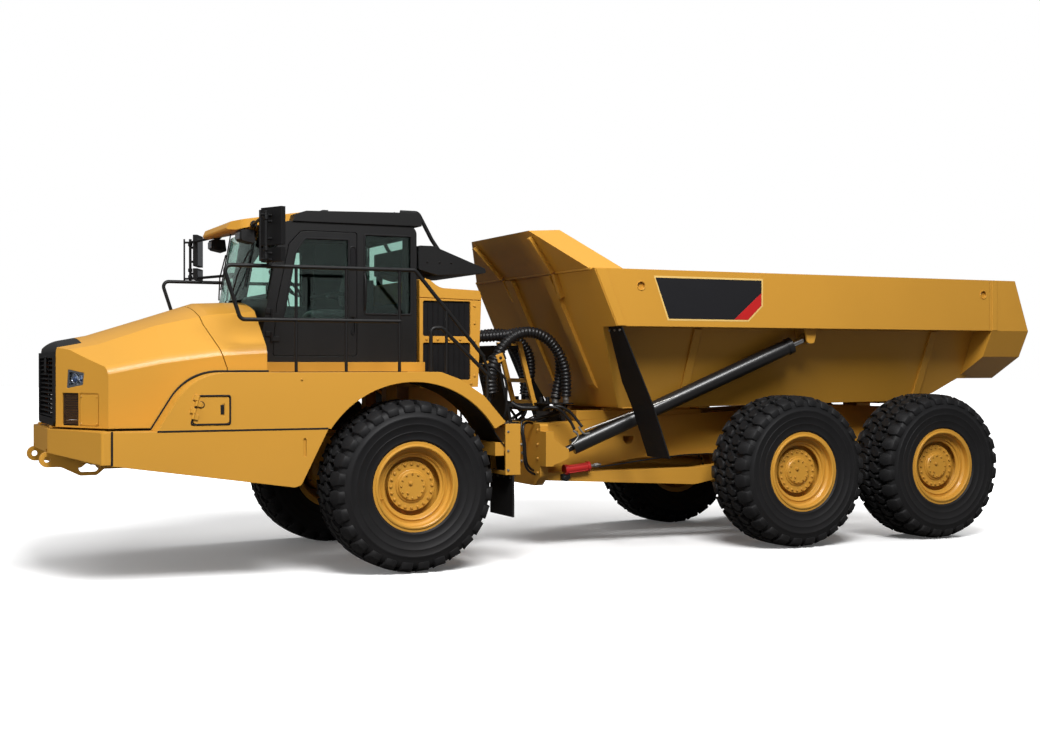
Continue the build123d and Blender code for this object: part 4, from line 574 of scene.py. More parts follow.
class TRUCK_OT_paint(bpy.types.Operator):
    """Gives every CAD node the finish of its slot"""
    bl_idname = "truck.paint"
    bl_label = "Paint the frame's nodes"

    def execute(self, context):
        for part in frame["record"]["subparts"]:
            piece = NODES[part["node"]]
            finish = NODE_FINISHES.get(part["node"], SLOT_FINISHES[part["material_slot"]])
            piece.data.materials.clear()
            piece.data.materials.append(material_named(finish))
        return {"FINISHED"}


# ---- Tyres and rims

# Half width of a tyre's tread, how far blocks reach into the carcass, and the radius of the rim's seat
TREAD_HALF = 0.35
BLOCK_FOOT = 0.012
BEAD_RADIUS = 0.432
# Half section of the carcass: radius, y
CARCASS = [
    (0.432, 0.285), (0.455, 0.314), (0.470, 0.320), (0.474, 0.326), (0.484, 0.327), (0.488, 0.326), (0.545, 0.337),
    (0.548, 0.340), (0.554, 0.341), (0.557, 0.339), (0.620, 0.346), (0.623, 0.349), (0.632, 0.350), (0.635, 0.347),
    (0.690, 0.347), (0.693, 0.3495), (0.704, 0.349), (0.707, 0.346), (0.745, 0.341), (0.780, 0.330),
    (0.806, 0.312), (0.818, 0.285), (0.822, 0.22), (0.825, 0.10), (0.826, 0.0),
]
# Blocks of the left half of the tread, as outlines of (s, y): s along the tread in pitches, y across in metres
BLOCKS = {
    "shoulder": [(0.10, 0.215), (0.04, 0.262), (0.10, 0.349), (0.74, 0.349), (0.84, 0.262), (0.70, 0.205),
                 (0.40, 0.185)],
    "bend": [(-0.30, 0.030), (-0.36, 0.095), (-0.02, 0.125), (0.02, 0.185), (0.30, 0.172), (0.36, 0.100),
             (0.12, 0.030)],
    "inner": [(0.24, 0.012), (0.46, 0.085), (0.44, 0.160), (0.62, 0.165), (0.68, 0.085), (0.52, 0.012)],
}


def crown(y):
    """Radius of the tread's top across the tyre."""
    part = min(1, abs(y) / TREAD_HALF)
    return WHEEL_RADIUS - 0.012 * part ** 2 - 0.045 * max(0, (part - 0.8) / 0.2) ** 2


def add_block(bm, outline, depth, pitch):
    """One tread block, raised from the carcass, its walls leaning out a little."""
    middle = (sum(s for s, y in outline) / len(outline), sum(y for s, y in outline) / len(outline))
    rings = []
    for sunk, grow in ((0, 0.94), (depth + BLOCK_FOOT, 1.06)):
        ring = []
        for s, y in outline:
            turn = (middle[0] + (s - middle[0]) * grow) * pitch
            across = middle[1] + (y - middle[1]) * grow
            reach = min(TREAD_HALF, abs(across)) * (1 if across > 0 else -1)
            r = crown(reach) - sunk
            ring.append(bm.verts.new((r * sin(turn), reach, r * cos(turn))))
        rings.append(ring)
    top, foot = rings
    for i in range(len(outline)):
        j = (i + 1) % len(outline)
        bm.faces.new([top[i], top[j], foot[j], foot[i]])
    bm.faces.new(top)
    bm.faces.new(list(reversed(foot)))


def tyre_piece(name, x, side):
    """A whole tyre: carcass with rounded shoulders, and blocks all round."""
    settings = bpy.context.scene.truck_tyres
    seed, full = bmesh.new(), bmesh.new()
    for half in (1, -1):
        for outline in BLOCKS.values():
            shift = 0.5 if half < 0 else 0.0
            add_block(seed, [(half * s + shift, half * y) for s, y in outline], settings.depth,
                      2 * pi / settings.pitches)
    bmesh.ops.bevel(seed, geom=seed.edges[:], offset=0.006, segments=1, affect="EDGES", clamp_overlap=True)
    add_copies(full, seed, RING, "tyre", Count=settings.pitches, Centre=(0, 0, 0))
    section = CARCASS + [(r, -y) for r, y in reversed(CARCASS[:-1])]
    add_turned(full, section + [(BEAD_RADIUS, -0.2), (BEAD_RADIUS, 0.2)], 96)
    full.transform(Matrix.Translation(at(x, side * HALF_TRACK, WHEEL_RADIUS)))
    tyre = f"road_tyre_{name}"
    piece = object_from(tyre, mesh_from(tyre, full), f"wheel_{name}", "tyre", 40)
    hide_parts(f"tyre_{name}")


class TRUCK_OT_tyres(bpy.types.Operator):
    """Makes the six tyres with their block tread"""
    bl_idname = "truck.tyres"
    bl_label = "Tyres"

    def execute(self, context):
        for name, (x, side) in WHEELS.items():
            tyre_piece(name, x, side)
        return {"FINISHED"}


# ---- Wheel fittings

# Closed sections, as (radius, y) from the wheel's middle, and how many sides each gets: the rim's inner ring, its
# lock ring, the hub's flange
RIM_RINGS = [
    ([(0.374, 0.232), (0.374, 0.214), (0.345, 0.196), (0.302, 0.192), (0.296, 0.200), (0.300, 0.212),
      (0.322, 0.218), (0.328, 0.236), (0.338, 0.242), (0.352, 0.232)], 96),
    ([(0.398, 0.311), (0.398, 0.320), (0.408, 0.326), (0.424, 0.322), (0.428, 0.311)], 96),
    ([(0.128, 0.180), (0.168, 0.180), (0.168, 0.192), (0.160, 0.197), (0.150, 0.197), (0.128, 0.192)], 64),
]
# Rods on a wheel: start, end, radius, sides. The plugs come first, then the valve.
WHEEL_RODS = [
    ((0.02, 0.213, 0.03), (0.02, 0.224, 0.03), 0.022, 24),
    ((0.02, 0.224, 0.03), (0.02, 0.232, 0.03), 0.014, 6),
    ((0.05, 0.213, -0.065), (0.05, 0.228, -0.065), 0.012, 6),
    ((0.30, 0.205, -0.10), (0.345, 0.262, -0.115), 0.006, 10),
    ((0.345, 0.262, -0.115), (0.352, 0.270, -0.117), 0.009, 10),
]
# Bolts on a hub: how many of the hub's bolt count, circle's radius, y, bolt's radius
HUB_BOLTS = [(1.0, 0.222, 0.185, 0.013), (0.6, 0.121, 0.215, 0.009)]


def wheel_fittings(name, x, side):
    """Inner ring, lock ring, hub bolts, plugs and valve of one wheel."""
    count = bpy.context.scene.truck_tyres.rim_bolts
    full = bmesh.new()
    for share, radius, y, size in HUB_BOLTS:
        seed = bmesh.new()
        add_bolt(seed, (radius, y, 0), (0, 1, 0), size)
        add_copies(full, seed, RING, "yellow", Count=round(count * share), Centre=(0, 0, 0), Axis=(0, 1, 0))
    for section, sides in RIM_RINGS:
        add_turned(full, section, sides)
    for rod in WHEEL_RODS:
        add_rod(full, *rod)
    if side < 0:
        full.transform(Matrix.Scale(-1, 4, (0, 1, 0)))
        bmesh.ops.reverse_faces(full, faces=full.faces)
    full.transform(Matrix.Translation((x, side * HALF_TRACK, WHEEL_RADIUS)))
    fitted(f"wheel_fittings_{name}", full, f"wheel_{name}", "yellow")


class TRUCK_OT_wheels(bpy.types.Operator):
    """Fits the rims' rings, hub bolts, plugs and valves"""
    bl_idname = "truck.wheels"
    bl_label = "Wheel fittings"

    def execute(self, context):
        for name, (x, side) in WHEELS.items():
            wheel_fittings(name, x, side)
        return {"FINISHED"}


# ---- Nose

# Front edge and rear edge of the nose's slanted left corner, seen from above
NOSE_EDGE, NOSE_SIDE = (3.320, 0.620), (2.930, 1.300)
# Round lamps in each housing: s, height, radius
LAMPS_IN_CORNER = [(0.262, 1.960, 0.046), (0.358, 1.960, 0.036)]
LAMP_OPENING = [(0.190, 1.896), (0.206, 2.022), (0.408, 1.992), (0.392, 1.922)]
# Wire screen: from s to s, from height to height
SCREEN = (0.112, 0.334, 1.520, 1.808)
# Edges of the left side as (x, z): fender against hood, round the hatch. Then the seams' half height.
FENDER_SEAM_Y = 1.313
FENDER_EDGE = [(2.540, 1.475), (2.360, 1.763), (2.196, 2.028), (1.886, 2.028), (1.40, 2.028)]
HATCH_EDGE = [(2.230, 1.530), (2.160, 1.800), (1.860, 1.800), (1.860, 1.530)]
SEAM_DARK = 0.009


def corner_place(s, z, out):
    """A point on the nose's slanted left corner: s from its front edge, height, and how far it stands out."""
    along = Vector((NOSE_SIDE[0] - NOSE_EDGE[0], NOSE_SIDE[1] - NOSE_EDGE[1], 0)).normalized()
    outward = Vector((along.y, -along.x, 0))
    return Vector((*NOSE_EDGE, z)) + along * s + outward * out


# Direction that the slanted left corner faces
CORNER_NORMAL = (corner_place(0, 0, 1) - corner_place(0, 0, 0)).normalized()


def lamp_parts():
    """Lenses, rims and covers of the lamps in the slanted corners."""
    lens, rim, cover = bmesh.new(), bmesh.new(), bmesh.new()
    for s, z, r in LAMPS_IN_CORNER:
        add_dome(lens, corner_place(s, z, -0.026), CORNER_NORMAL, r * 0.93, 0.016, 5)
        add_tube(rim, circle(corner_place(s, z, -0.024), (0, 0, r * 0.98), CORNER_NORMAL), 0.004, 8)
    add_prism(cover, [corner_place(s, z, -0.008) for s, z in LAMP_OPENING], CORNER_NORMAL * 0.004)
    fitted("headlamp_lenses", lens, "hood", "blue lamp", twin=True)
    fitted("headlamp_rims", rim, "hood", "chrome", twin=True)
    fitted("headlamp_covers", cover, "hood", "cover", twin=True)


def side_screens():
    """A wire screen before each slotted panel, woven from two rows of wires. Its brown is yellow paint darkened as
    painted shade.
    """
    s0, s1, low, high = SCREEN
    across = corner_place(0.0111, 0, 0) - corner_place(0, 0, 0)
    full = bmesh.new()
    for start, end, step, count in (
            (corner_place(s0, low, -0.010), corner_place(s0, high, -0.010), across, 21),
            (corner_place(s0, low + 0.006, -0.008), corner_place(s1, low + 0.006, -0.008), (0, 0, 0.0115), 25)):
        seed = bmesh.new()
        add_rod(seed, start, end, 0.0018, 6)
        add_copies(full, seed, ROW, "wire", Count=count, Step=tuple(step))
    fitted("side_screen_wires", full, "hood", "wire", twin=True)


def nose_trim():
    """The bare plate on the nose with its frame, and the hood's latches."""
    built("grille_plate", "hood", "grille", [
        (add_box, (3.345, -0.075, 2.02), (3.349, 0.075, 2.16)),
        *[(add_box, (3.344, y, 2.01), (3.352, y + 0.008, 2.17)) for y in (-0.085, 0.077)],
        *[(add_box, (3.344, -0.085, z), (3.352, 0.085, z + 0.008)) for z in (2.004, 2.168)]], rounding=0.0015)
    built("hood_latches", "hood", "grille", [
        (add_box, (1.90, 1.296, 1.66), (1.99, 1.312, 1.695)),
        (add_box, (1.925, 1.308, 1.666), (1.965, 1.320, 1.689))], twin=True, rounding=0.003)


def fender_line():
    """The seam between fender and hood: a straight run, a bend, a straight run."""
    first, start, corner, end, last = [Vector((x, FENDER_SEAM_Y, z)) for x, z in FENDER_EDGE]
    bend = [start * (1 - t) ** 2 + corner * 2 * t * (1 - t) + end * t ** 2 for t in [i / 16 for i in range(17)]]
    return [first, *bend, last]


def body_seals():
    """Dark rubber in the seams: fender to hood, fender to side box, bumper to side box, round the hatch."""
    built("body_seals", "front_frame", "rubber", [
        (add_tube, fender_line(), 0.012, 10),
        (add_box, (0.895, 1.6495, 1.470 - SEAM_DARK), (2.540, 1.6515, 1.470 + SEAM_DARK)),
        (add_box, (2.950 - SEAM_DARK, 1.640, 1.165), (2.950 + SEAM_DARK, 1.6515, 1.470 + SEAM_DARK))], twin=True)
    built("skirt_fillers", "front_frame", "rubber", [(add_box, (2.50, 1.255, 1.440), (2.965, 1.355, 1.468))],
          twin=True)
    built("hatch_seal", "front_frame", "rubber", [(add_tube, closed_line(HATCH_EDGE, 1.651, 0.036), 0.009, 8)],
          twin=True)
    for side, body, end in ((1, "hatch", ""), (-1, "front_frame", "_right")):
        built(f"hatch_lock{end}", body, "grille", [
            (add_box, (1.918, side * 1.648, 1.622), (1.952, side * 1.652, 1.714)),
            (add_rod, (2.135, side * 1.648, 1.716), (2.135, side * 1.653, 1.716), 0.034, 32)], rounding=0.001)
        built(f"hatch_knob{end}", body, "yellow", [
            (add_rod, (2.135, side * 1.652, 1.716), (2.135, side * 1.657, 1.716), 0.024, 32)], rounding=0.001)
    built("right_fender_cover", "front_frame", "yellow", [
        (add_prism, [(x, -1.640, z) for x, z in HATCH_EDGE], (0, -0.0095, 0))])


def arch_shade_liners():
    """Rubber strips under the front fenders, from the top of the arch down to the mud flaps. Their black stands in
    for the shade inside the arches: painted shade.
    """
    radius = 1.040
    line = [(radius * cos(radians(a)), WHEEL_RADIUS + radius * sin(radians(a))) for a in range(100, 154, 3)]
    line += [(-1.000, 1.26), (-1.060, 1.12), (-1.084, 0.94)]
    # Black sheet where the arch is only in shade: painted shade
    built("arch_shade_liners", "front_frame", "rubber", [(add_strip, line, 1.030, 1.615, 0.008)], twin=True)


class TRUCK_OT_nose(bpy.types.Operator):
    """Fits the lamps, side screens, bare nose plate, latches, rubber seals and arch liners of the front. The
    screens' brown and the liners' black are painted shade.
    """
    bl_idname = "truck.nose"
    bl_label = "Nose"

    def execute(self, context):
        lamp_parts()
        side_screens()
        nose_trim()
        body_seals()
        arch_shade_liners()
        return {"FINISHED"}


# ---- Cab trim

# Corners (x, z) of the door's pane, which the right side wall has too, and of the pane behind it
DOOR_PANE = [(0.44, 2.561), (1.14, 2.561), (1.01, 3.24), (0.91, 3.39), (0.44, 3.39)]
REAR_PANE = [(-0.25, 2.621), (0.27, 2.621), (0.27, 3.45), (-0.25, 3.45)]
GLASS_Y = 0.899
SEAL_RADIUS = 0.011
# Slope of the front pane, its foot and how far it bulges at its middle
SCREEN_SLOPE = -0.181
SCREEN_FOOT = (1.41, 2.12)
SCREEN_BULGE = 0.24


def closed_line(corners, y, reach=0.05):
    """A smooth closed line round the corners of an opening, at y."""
    points = []
    for i, here in enumerate(corners):
        before, after = corners[i - 1], corners[(i + 1) % len(corners)]
        here = Vector((here[0], y, here[1]))
        for other in (before, None, after):
            if other is None:
                points.append(here)
                continue
            way = Vector((other[0], y, other[1])) - here
            points.append(here + way.normalized() * min(reach, way.length * 0.4))
    points.append(points[0])
    return route(points, 6)


def cab_seals():
    """Rubber seals round the panes of the door and the side walls."""
    built("door_window_seal", "door", "rubber", [(add_tube, closed_line(DOOR_PANE, GLASS_Y), SEAL_RADIUS, 8)])
    built("cab_window_seals", "front_frame", "rubber", [
        (add_tube, closed_line(pane, y), SEAL_RADIUS, 8)
        for pane, y in ((REAR_PANE, GLASS_Y), (REAR_PANE, -GLASS_Y), (DOOR_PANE, -GLASS_Y))])


def screen_place(y, z, out):
    """A point on the bulging front pane, or before it."""
    bulge = SCREEN_BULGE * (1 - (y / 0.85) ** 2)
    return Vector((SCREEN_FOOT[0] + SCREEN_SLOPE * (z - SCREEN_FOOT[1]) + bulge + out, y, z))


def cab_fittings():
    """Aerial foot, roof ribs, grab handles, wipers, roof lamp lenses and the door's handle and lock."""
    built("cab_fittings", "front_frame", "black", [
        (add_rod, (-0.204, 0.5, 3.700), (-0.204, 0.5, 3.728), 0.022, 24),
        (add_rod, (-0.204, 0.5, 3.728), (-0.204, 0.5, 3.745), 0.014, 24, 0.005),
        *[(add_box, (0.60, y - 0.05, 3.699), (0.66, y + 0.05, 3.710)) for y in (-0.45, 0.1, 0.65)],
        *[(add_tube, route([(0.27, side * y, z) for y, z in ((GLASS_Y, 2.66), (0.945, 2.70), (0.945, 3.00),
                                                             (GLASS_Y, 3.04))]), 0.012, 10) for side in (-1, 1)],
    ], smooth=40)
    wipers, foot, top = [], 2.80, 3.28
    for y0, y1 in ((0.30, 0.52), (-0.50, -0.28)):
        arm = [screen_place(y0, foot, 0.03), screen_place((y0 + y1) / 2, (foot + top) / 2, 0.055),
               screen_place(y1, top, 0.035)]
        blade = [screen_place(y1, top + d, 0.022) for d in (-0.38, -0.2, 0.0, 0.15, 0.28)]
        wipers += [(add_tube, arm, 0.008, 8), (add_tube, blade, 0.007, 6)]
    built("wipers", "front_frame", "black", wipers)
    built("roof_lamp_lenses", "front_frame", "lamp", [(add_box, (1.541, 0.545, 3.375), (1.547, 0.715, 3.445))],
          twin=True, rounding=0.002)
    oval = [(0.398 + 0.034 * cos(a), 3.20 + 0.034 * sin(a) + (0.085 if sin(a) > 0 else -0.085))
            for a in [2 * pi * (i + 0.5) / 24 for i in range(24)]]
    built("door_handle", "door", "dark", [
        (add_prism, [(x, GLASS_Y, z) for x, z in oval], (0, 0.004, 0)),
        (add_tube, [(x, 0.902, z) for x, z in oval + oval[:1]], 0.008, 8),
        (add_rod, (0.398, 0.88, 2.42), (0.398, 0.908, 2.42), 0.018, 20)])


def mirror_parts():
    """Mirror faces, and the clamps on their mast and arms."""
    glass, clamps = bmesh.new(), bmesh.new()
    turn, head = radians(25), Vector((1.45, 1.673, 0))
    along, ahead = Vector((sin(turn), -cos(turn), 0)), Vector((cos(turn), sin(turn), 0))
    centre, mast = head - ahead * 0.0255, head + ahead * 0.09
    for low, high in ((3.25, 3.56), (3.10, 3.19)):
        corners = ((-0.135, low), (0.135, low), (0.135, high), (-0.135, high))
        add_prism(glass, [centre + along * a + Vector((0, 0, z)) for a, z in corners], -ahead * 0.003)
    for z in (3.12, 3.2, 3.5):
        add_rod(clamps, mast + Vector((0, 0, z - 0.02)), mast + Vector((0, 0, z + 0.02)), 0.026, 16)
    for end in (Vector((1.27, 0.903, 3.099)), Vector((1.41, 0.763, 3.524))):
        way = (end - (mast + Vector((0, 0, end.z)))).normalized()
        add_rod(clamps, end - way * 0.045, end, 0.034, 20)
    fitted("mirror_faces", glass, "front_frame", "mirror", twin=True)
    fitted("mirror_clamps", clamps, "front_frame", "black", twin=True, rounding=0.002)


class TRUCK_OT_cab(bpy.types.Operator):
    """Fits window seals, wipers, aerial foot, lamps, mirrors' faces and door handle"""
    bl_idname = "truck.cab"
    bl_label = "Cab trim"

    def execute(self, context):
        cab_seals()
        cab_fittings()
        mirror_parts()
        return {"FINISHED"}


# ---- Driver's seat

# Cushions: name, middle, half sizes across, along and thick, lean about Y in degrees
CUSHIONS = [
    ("seat_base", (0.39, 0.0, 2.625), (0.235, 0.250, 0.062), 0),
    ("seat_back", (0.128, 0.0, 3.005), (0.225, 0.290, 0.060), -78),
]
PAD_GRID = 28


def pad_mesh(name, middle, half, lean):
    """A crowned pad: thick in its middle, thin at its rim, with two sewn channels."""
    across, along, thick = half
    bm = bmesh.new()
    turn = Matrix.Translation(middle) @ Matrix.Rotation(-radians(lean), 4, "Y")
    steps = [2 * i / PAD_GRID - 1 for i in range(PAD_GRID + 1)]
    for side in (1, -1):
        grid = []
        for u in steps:
            row = []
            for v in steps:
                dome = max(0.0, (1 - u ** 4) * (1 - v ** 4)) ** 0.45
                channel = 0.16 / (1 + ((abs(v) - 0.52) / 0.035) ** 2)
                z = thick * dome * (1 - channel) if side > 0 else -thick * dome * 0.9
                row.append(bm.verts.new(turn @ Vector((along * u * sqrt(1 - 0.10 * v * v),
                                                       across * v * sqrt(1 - 0.10 * u * u), z))))
            grid.append(row)
        for i in range(PAD_GRID):
            for j in range(PAD_GRID):
                loop = [grid[i][j], grid[i + 1][j], grid[i + 1][j + 1], grid[i][j + 1]]
                bm.faces.new(loop if side > 0 else list(reversed(loop)))
    bmesh.ops.remove_doubles(bm, verts=bm.verts, dist=1e-4)
    bmesh.ops.dissolve_degenerate(bm, edges=bm.edges, dist=1e-5)
    bm.transform(Matrix.Translation((FRONT_AXLE_X, 0, 0)))
    return mesh_from(name, bm)


def inflated(mesh, reach):
    """The pad after a short cloth simulation under pressure, each point moved by at most the reach."""
    scene = bpy.context.scene
    pad = linked("pad in simulation", mesh)
    before = [v.co.copy() for v in mesh.vertices]
    settings = pad.modifiers.new("Cloth", "CLOTH").settings
    settings.use_pressure = True
    settings.uniform_pressure_force = 4
    settings.effector_weights.gravity = 0
    settings.tension_stiffness = settings.compression_stiffness = 30
    settings.bending_stiffness = 2
    for number in range(1, 21):
        scene.frame_set(number)
    graph = bpy.context.evaluated_depsgraph_get()
    result = bpy.data.meshes.new_from_object(pad.evaluated_get(graph))
    scene.frame_set(1)
    bpy.data.objects.remove(pad)
    for v, start in zip(result.vertices, before):
        move = v.co - start
        if move.length > reach:
            v.co = start + move.normalized() * reach
    return result


def seat_pads():
    """The seat's two padded cushions."""
    for name, middle, half, lean in CUSHIONS:
        mesh = pad_mesh(name, middle, half, lean)
        mesh = inflated(mesh, 0.008)
        pad = object_from(name, mesh, "front_frame", "cloth", 180)
        smooth = pad.modifiers.new("Smooth", "SUBSURF")
        smooth.levels = smooth.render_levels = 1
    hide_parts("seat_cushions")


def cab_inside():
    """Headrest, armrests, levers, pedals and the lining behind the seat."""
    seat = [(add_box, (0.045, -0.10, 3.26), (0.115, 0.10, 3.40))]
    for side in (-1, 1):
        arm = [(0.16, side * 0.245, 2.80), (0.20, side * 0.275, 2.86), (0.46, side * 0.275, 2.86),
               (0.50, side * 0.275, 2.82)]
        seat += [(add_tube, route(arm), 0.024, 12),
                 (add_rod, (0.085, side * 0.06, 3.20), (0.085, side * 0.06, 3.30), 0.007, 12)]
    built("seat_fittings", "front_frame", "plastic", seat, rounding=0.02)
    levers = []
    for x, y in ((0.62, -0.41), (0.72, -0.36), (0.72, -0.46)):
        levers += [(add_rod, (x, y, 2.74), (x + 0.02, y, 2.86), 0.007, 10),
                   (add_rod, (x + 0.02, y, 2.86), (x + 0.026, y, 2.895), 0.015, 16, 0.019)]
    levers += [(add_box, (1.02, y - 0.045, 2.24), (1.05, y + 0.045, 2.36)) for y in (-0.13, 0.13)]
    built("cab_levers", "front_frame", "plastic", levers, rounding=0.003)
    built("cab_rear_lining", "front_frame", "plastic", [
        (add_box, (-0.245, -0.838, 2.20), (0.30, -0.82, 3.49)),
        (add_box, (-0.245, -0.838, 2.20), (-0.05, -0.30, 3.05))], rounding=0.01)


class TRUCK_OT_seat(bpy.types.Operator):
    """Makes the padded seat with its fittings, the levers, pedals and lining"""
    bl_idname = "truck.seat"
    bl_label = "Driver's seat"

    def execute(self, context):
        seat_pads()
        cab_inside()
        return {"FINISHED"}


# ---- Hitch hoses and pipes

# Corrugated hoses over the hitch: points of their lines
CORRUGATED = [
    [(-1.085, 0.40, 2.395), (-1.30, 0.40, 2.405), (-1.55, 0.40, 2.42), (-1.81, 0.40, 2.475), (-2.08, 0.40, 2.43),
     (-2.25, 0.40, 2.23), (-2.27, 0.40, 2.00), (-2.215, 0.40, 1.80), (-2.20, 0.40, 1.70)],
    [(-1.32, 0.56, 1.78), (-1.295, 0.56, 1.93), (-1.36, 0.56, 2.13), (-1.49, 0.56, 2.35), (-1.72, 0.56, 2.475),
     (-1.98, 0.56, 2.43), (-2.18, 0.56, 2.22), (-2.27, 0.56, 1.96), (-2.254, 0.56, 1.73)],
]
HOSE_RADIUS = 0.056
BELLOWS_RADIUS = 0.080
BELLOWS_LENGTH = 0.40
HOSE_PITCH = 0.042


def corrugation(way, bellows):
    """Radius of a corrugated hose some way along it; one of them starts in wider bellows."""
    radius = BELLOWS_RADIUS if bellows and way < BELLOWS_LENGTH else HOSE_RADIUS
    return radius + 0.007 * cos(2 * pi * way / HOSE_PITCH)


def bending_hose(name, bm, bodies, start, end):
    """A hose made in axle-frame metres, moved to its place and given hose rubber."""
    bm.transform(Matrix.Translation((FRONT_AXLE_X, 0, 0)))
    hose = linked(name, mesh_from("hose", bm))
    hose.data.materials.append(material_named("hose rubber"))
    hose.data.shade_smooth()
    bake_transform(hose)


def corrugated_hoses():
    """The thick corrugated hoses from the front frame over the hitch."""
    for end, side in SIDES.items():
        for number, points in enumerate(CORRUGATED):
            bm = bmesh.new()
            line = spaced(route([(x, side * y, z) for x, y, z in points], 16), HOSE_PITCH / 4)
            add_tube(bm, line, lambda way: corrugation(way, number == 1), 18)
            bending_hose(f"hitch_hose_{number + 1}_{end}", bm, ("front_frame", "hitch_yoke"), (-1.14, 0, 2.3),
                         (-2.12, 0, 2.3))


# Smooth lines of pipes and hoses, on both sides: name, body, look, radius, points
PIPES = [
    ("bellows_pipe", "front_frame", "hose", 0.026, [
        (-1.32, 0.56, 1.84), (-1.30, 0.56, 1.62), (-1.22, 0.54, 1.50), (-1.16, 0.40, 1.45),
        (-1.13, 0.30, 1.40)]),
    ("steering_pipe", "front_frame", "black", 0.013, [
        (-1.06, 0.62, 2.11), (-1.30, 0.63, 2.09), (-1.39, 0.64, 2.01), (-1.45, 0.65, 1.95), (-1.47, 0.65, 1.86),
        (-1.47, 0.65, 1.70), (-1.46, 0.64, 1.52), (-1.42, 0.56, 1.44), (-1.34, 0.40, 1.40),
        (-1.20, 0.30, 1.36)]),
    ("tower_supply", "hitch_yoke", "hose", 0.030, [
        (-1.70, 0.27, 1.66), (-1.76, 0.30, 1.605), (-1.87, 0.33, 1.595), (-2.01, 0.35, 1.595)]),
    ("tower_hose_1", "hitch_yoke", "hose", 0.022, [
        (-2.20, 0.40, 1.74), (-2.20, 0.40, 1.62), (-2.19, 0.38, 1.52), (-2.10, 0.34, 1.44),
        (-1.98, 0.25, 1.40)]),
    ("tower_hose_2", "hitch_yoke", "hose", 0.020, [
        (-2.25, 0.56, 1.76), (-2.25, 0.55, 1.64), (-2.22, 0.48, 1.55), (-2.10, 0.38, 1.50),
        (-1.97, 0.27, 1.46)]),
    ("brake_hose_1", "rear_frame", "hose", 0.014, [
        (-1.835, 0.60, 1.46), (-1.70, 0.62, 1.50), (-1.62, 0.68, 1.42), (-1.66, 0.70, 1.21),
        (-1.66, 0.70, 1.03), (-1.72, 0.66, 0.90), (-1.84, 0.60, 0.86)]),
    ("brake_hose_2", "rear_frame", "hose", 0.014, [
        (-1.835, 0.55, 1.43), (-1.74, 0.58, 1.46), (-1.67, 0.63, 1.38), (-1.70, 0.65, 1.20),
        (-1.70, 0.65, 1.05), (-1.75, 0.62, 0.94), (-1.84, 0.56, 0.90)]),
    ("hoist_hose_1", "hitch_yoke", "hose", 0.017, [
        (-1.97, 0.57, 1.585), (-1.97, 0.66, 1.62), (-2.07, 0.71, 1.61), (-2.16, 0.72, 1.53),
        (-2.24, 0.74, 1.43), (-2.26, 0.76, 1.36)]),
    ("hoist_hose_2", "hitch_yoke", "hose", 0.017, [
        (-2.05, 0.57, 1.585), (-2.05, 0.64, 1.63), (-2.14, 0.68, 1.62), (-2.25, 0.70, 1.55),
        (-2.33, 0.73, 1.44), (-2.36, 0.76, 1.39)]),
    ("lift_pipe_1", "hoist_barrel", "steel", 0.012, [
        (-2.19, 0.865, 1.355), (-2.245, 0.88, 1.325), (-2.24, 0.885, 1.26), (-2.165, 0.875, 1.20)]),
    ("lift_pipe_2", "hoist_barrel", "steel", 0.012, [
        (-2.26, 0.865, 1.40), (-2.29, 0.885, 1.33), (-2.34, 0.89, 1.31), (-2.41, 0.885, 1.33)]),
    ("lift_pipe_3", "hoist_barrel", "steel", 0.011, [
        (-2.32, 0.90, 1.36), (-2.60, 0.965, 1.46), (-2.95, 1.045, 1.585), (-3.60, 1.19, 1.815),
        (-4.10, 1.30, 1.99)]),
    ("axle_brake_line", "rear_frame", "steel", 0.007, [
        (-4.716, 0.95, 1.13), (-4.72, 0.72, 1.06), (-4.74, 0.50, 1.07), (-4.74, 0.30, 1.12),
        (-4.70, 0.10, 1.15)]),
    ("handbrake_cable", "rear_frame", "hose", 0.009, [
        (-2.60, 0.71, 0.925), (-2.90, 0.71, 0.955), (-3.30, 0.70, 1.00), (-3.75, 0.66, 1.03),
        (-4.10, 0.60, 1.03), (-4.35, 0.52, 1.02)]),
]
# Hoses of the table above that run from the hitch to the rear frame: where a bend would start and end; the hoses
# are not made to bend
ROLL_BENDS = {
    "tower_hose_1": ((-2.20, 0.0, 1.64), (-2.10, 0.0, 1.43)),
    "tower_hose_2": ((-2.24, 0.0, 1.66), (-2.12, 0.0, 1.49)),
    "hoist_hose_1": ((-2.05, 0.0, 1.61), (-2.25, 0.0, 1.39)),
    "hoist_hose_2": ((-2.13, 0.0, 1.62), (-2.34, 0.0, 1.42)),
}


def pipe_runs():
    """The smooth pipes and hoses of the table, left and right."""
    for name, body, look, radius, points in PIPES:
        for end, side in SIDES.items():
            bm = bmesh.new()
            add_tube(bm, route([(x, side * y, z) for x, y, z in points]), radius)
            if name in ROLL_BENDS:
                bending_hose(f"{name}_{end}", bm, ("hitch_yoke", "rear_frame"), *ROLL_BENDS[name])
            else:
                fitted(f"{name}_{end}", bm, f"{body}_{end}" if body == "hoist_barrel" else body, look)


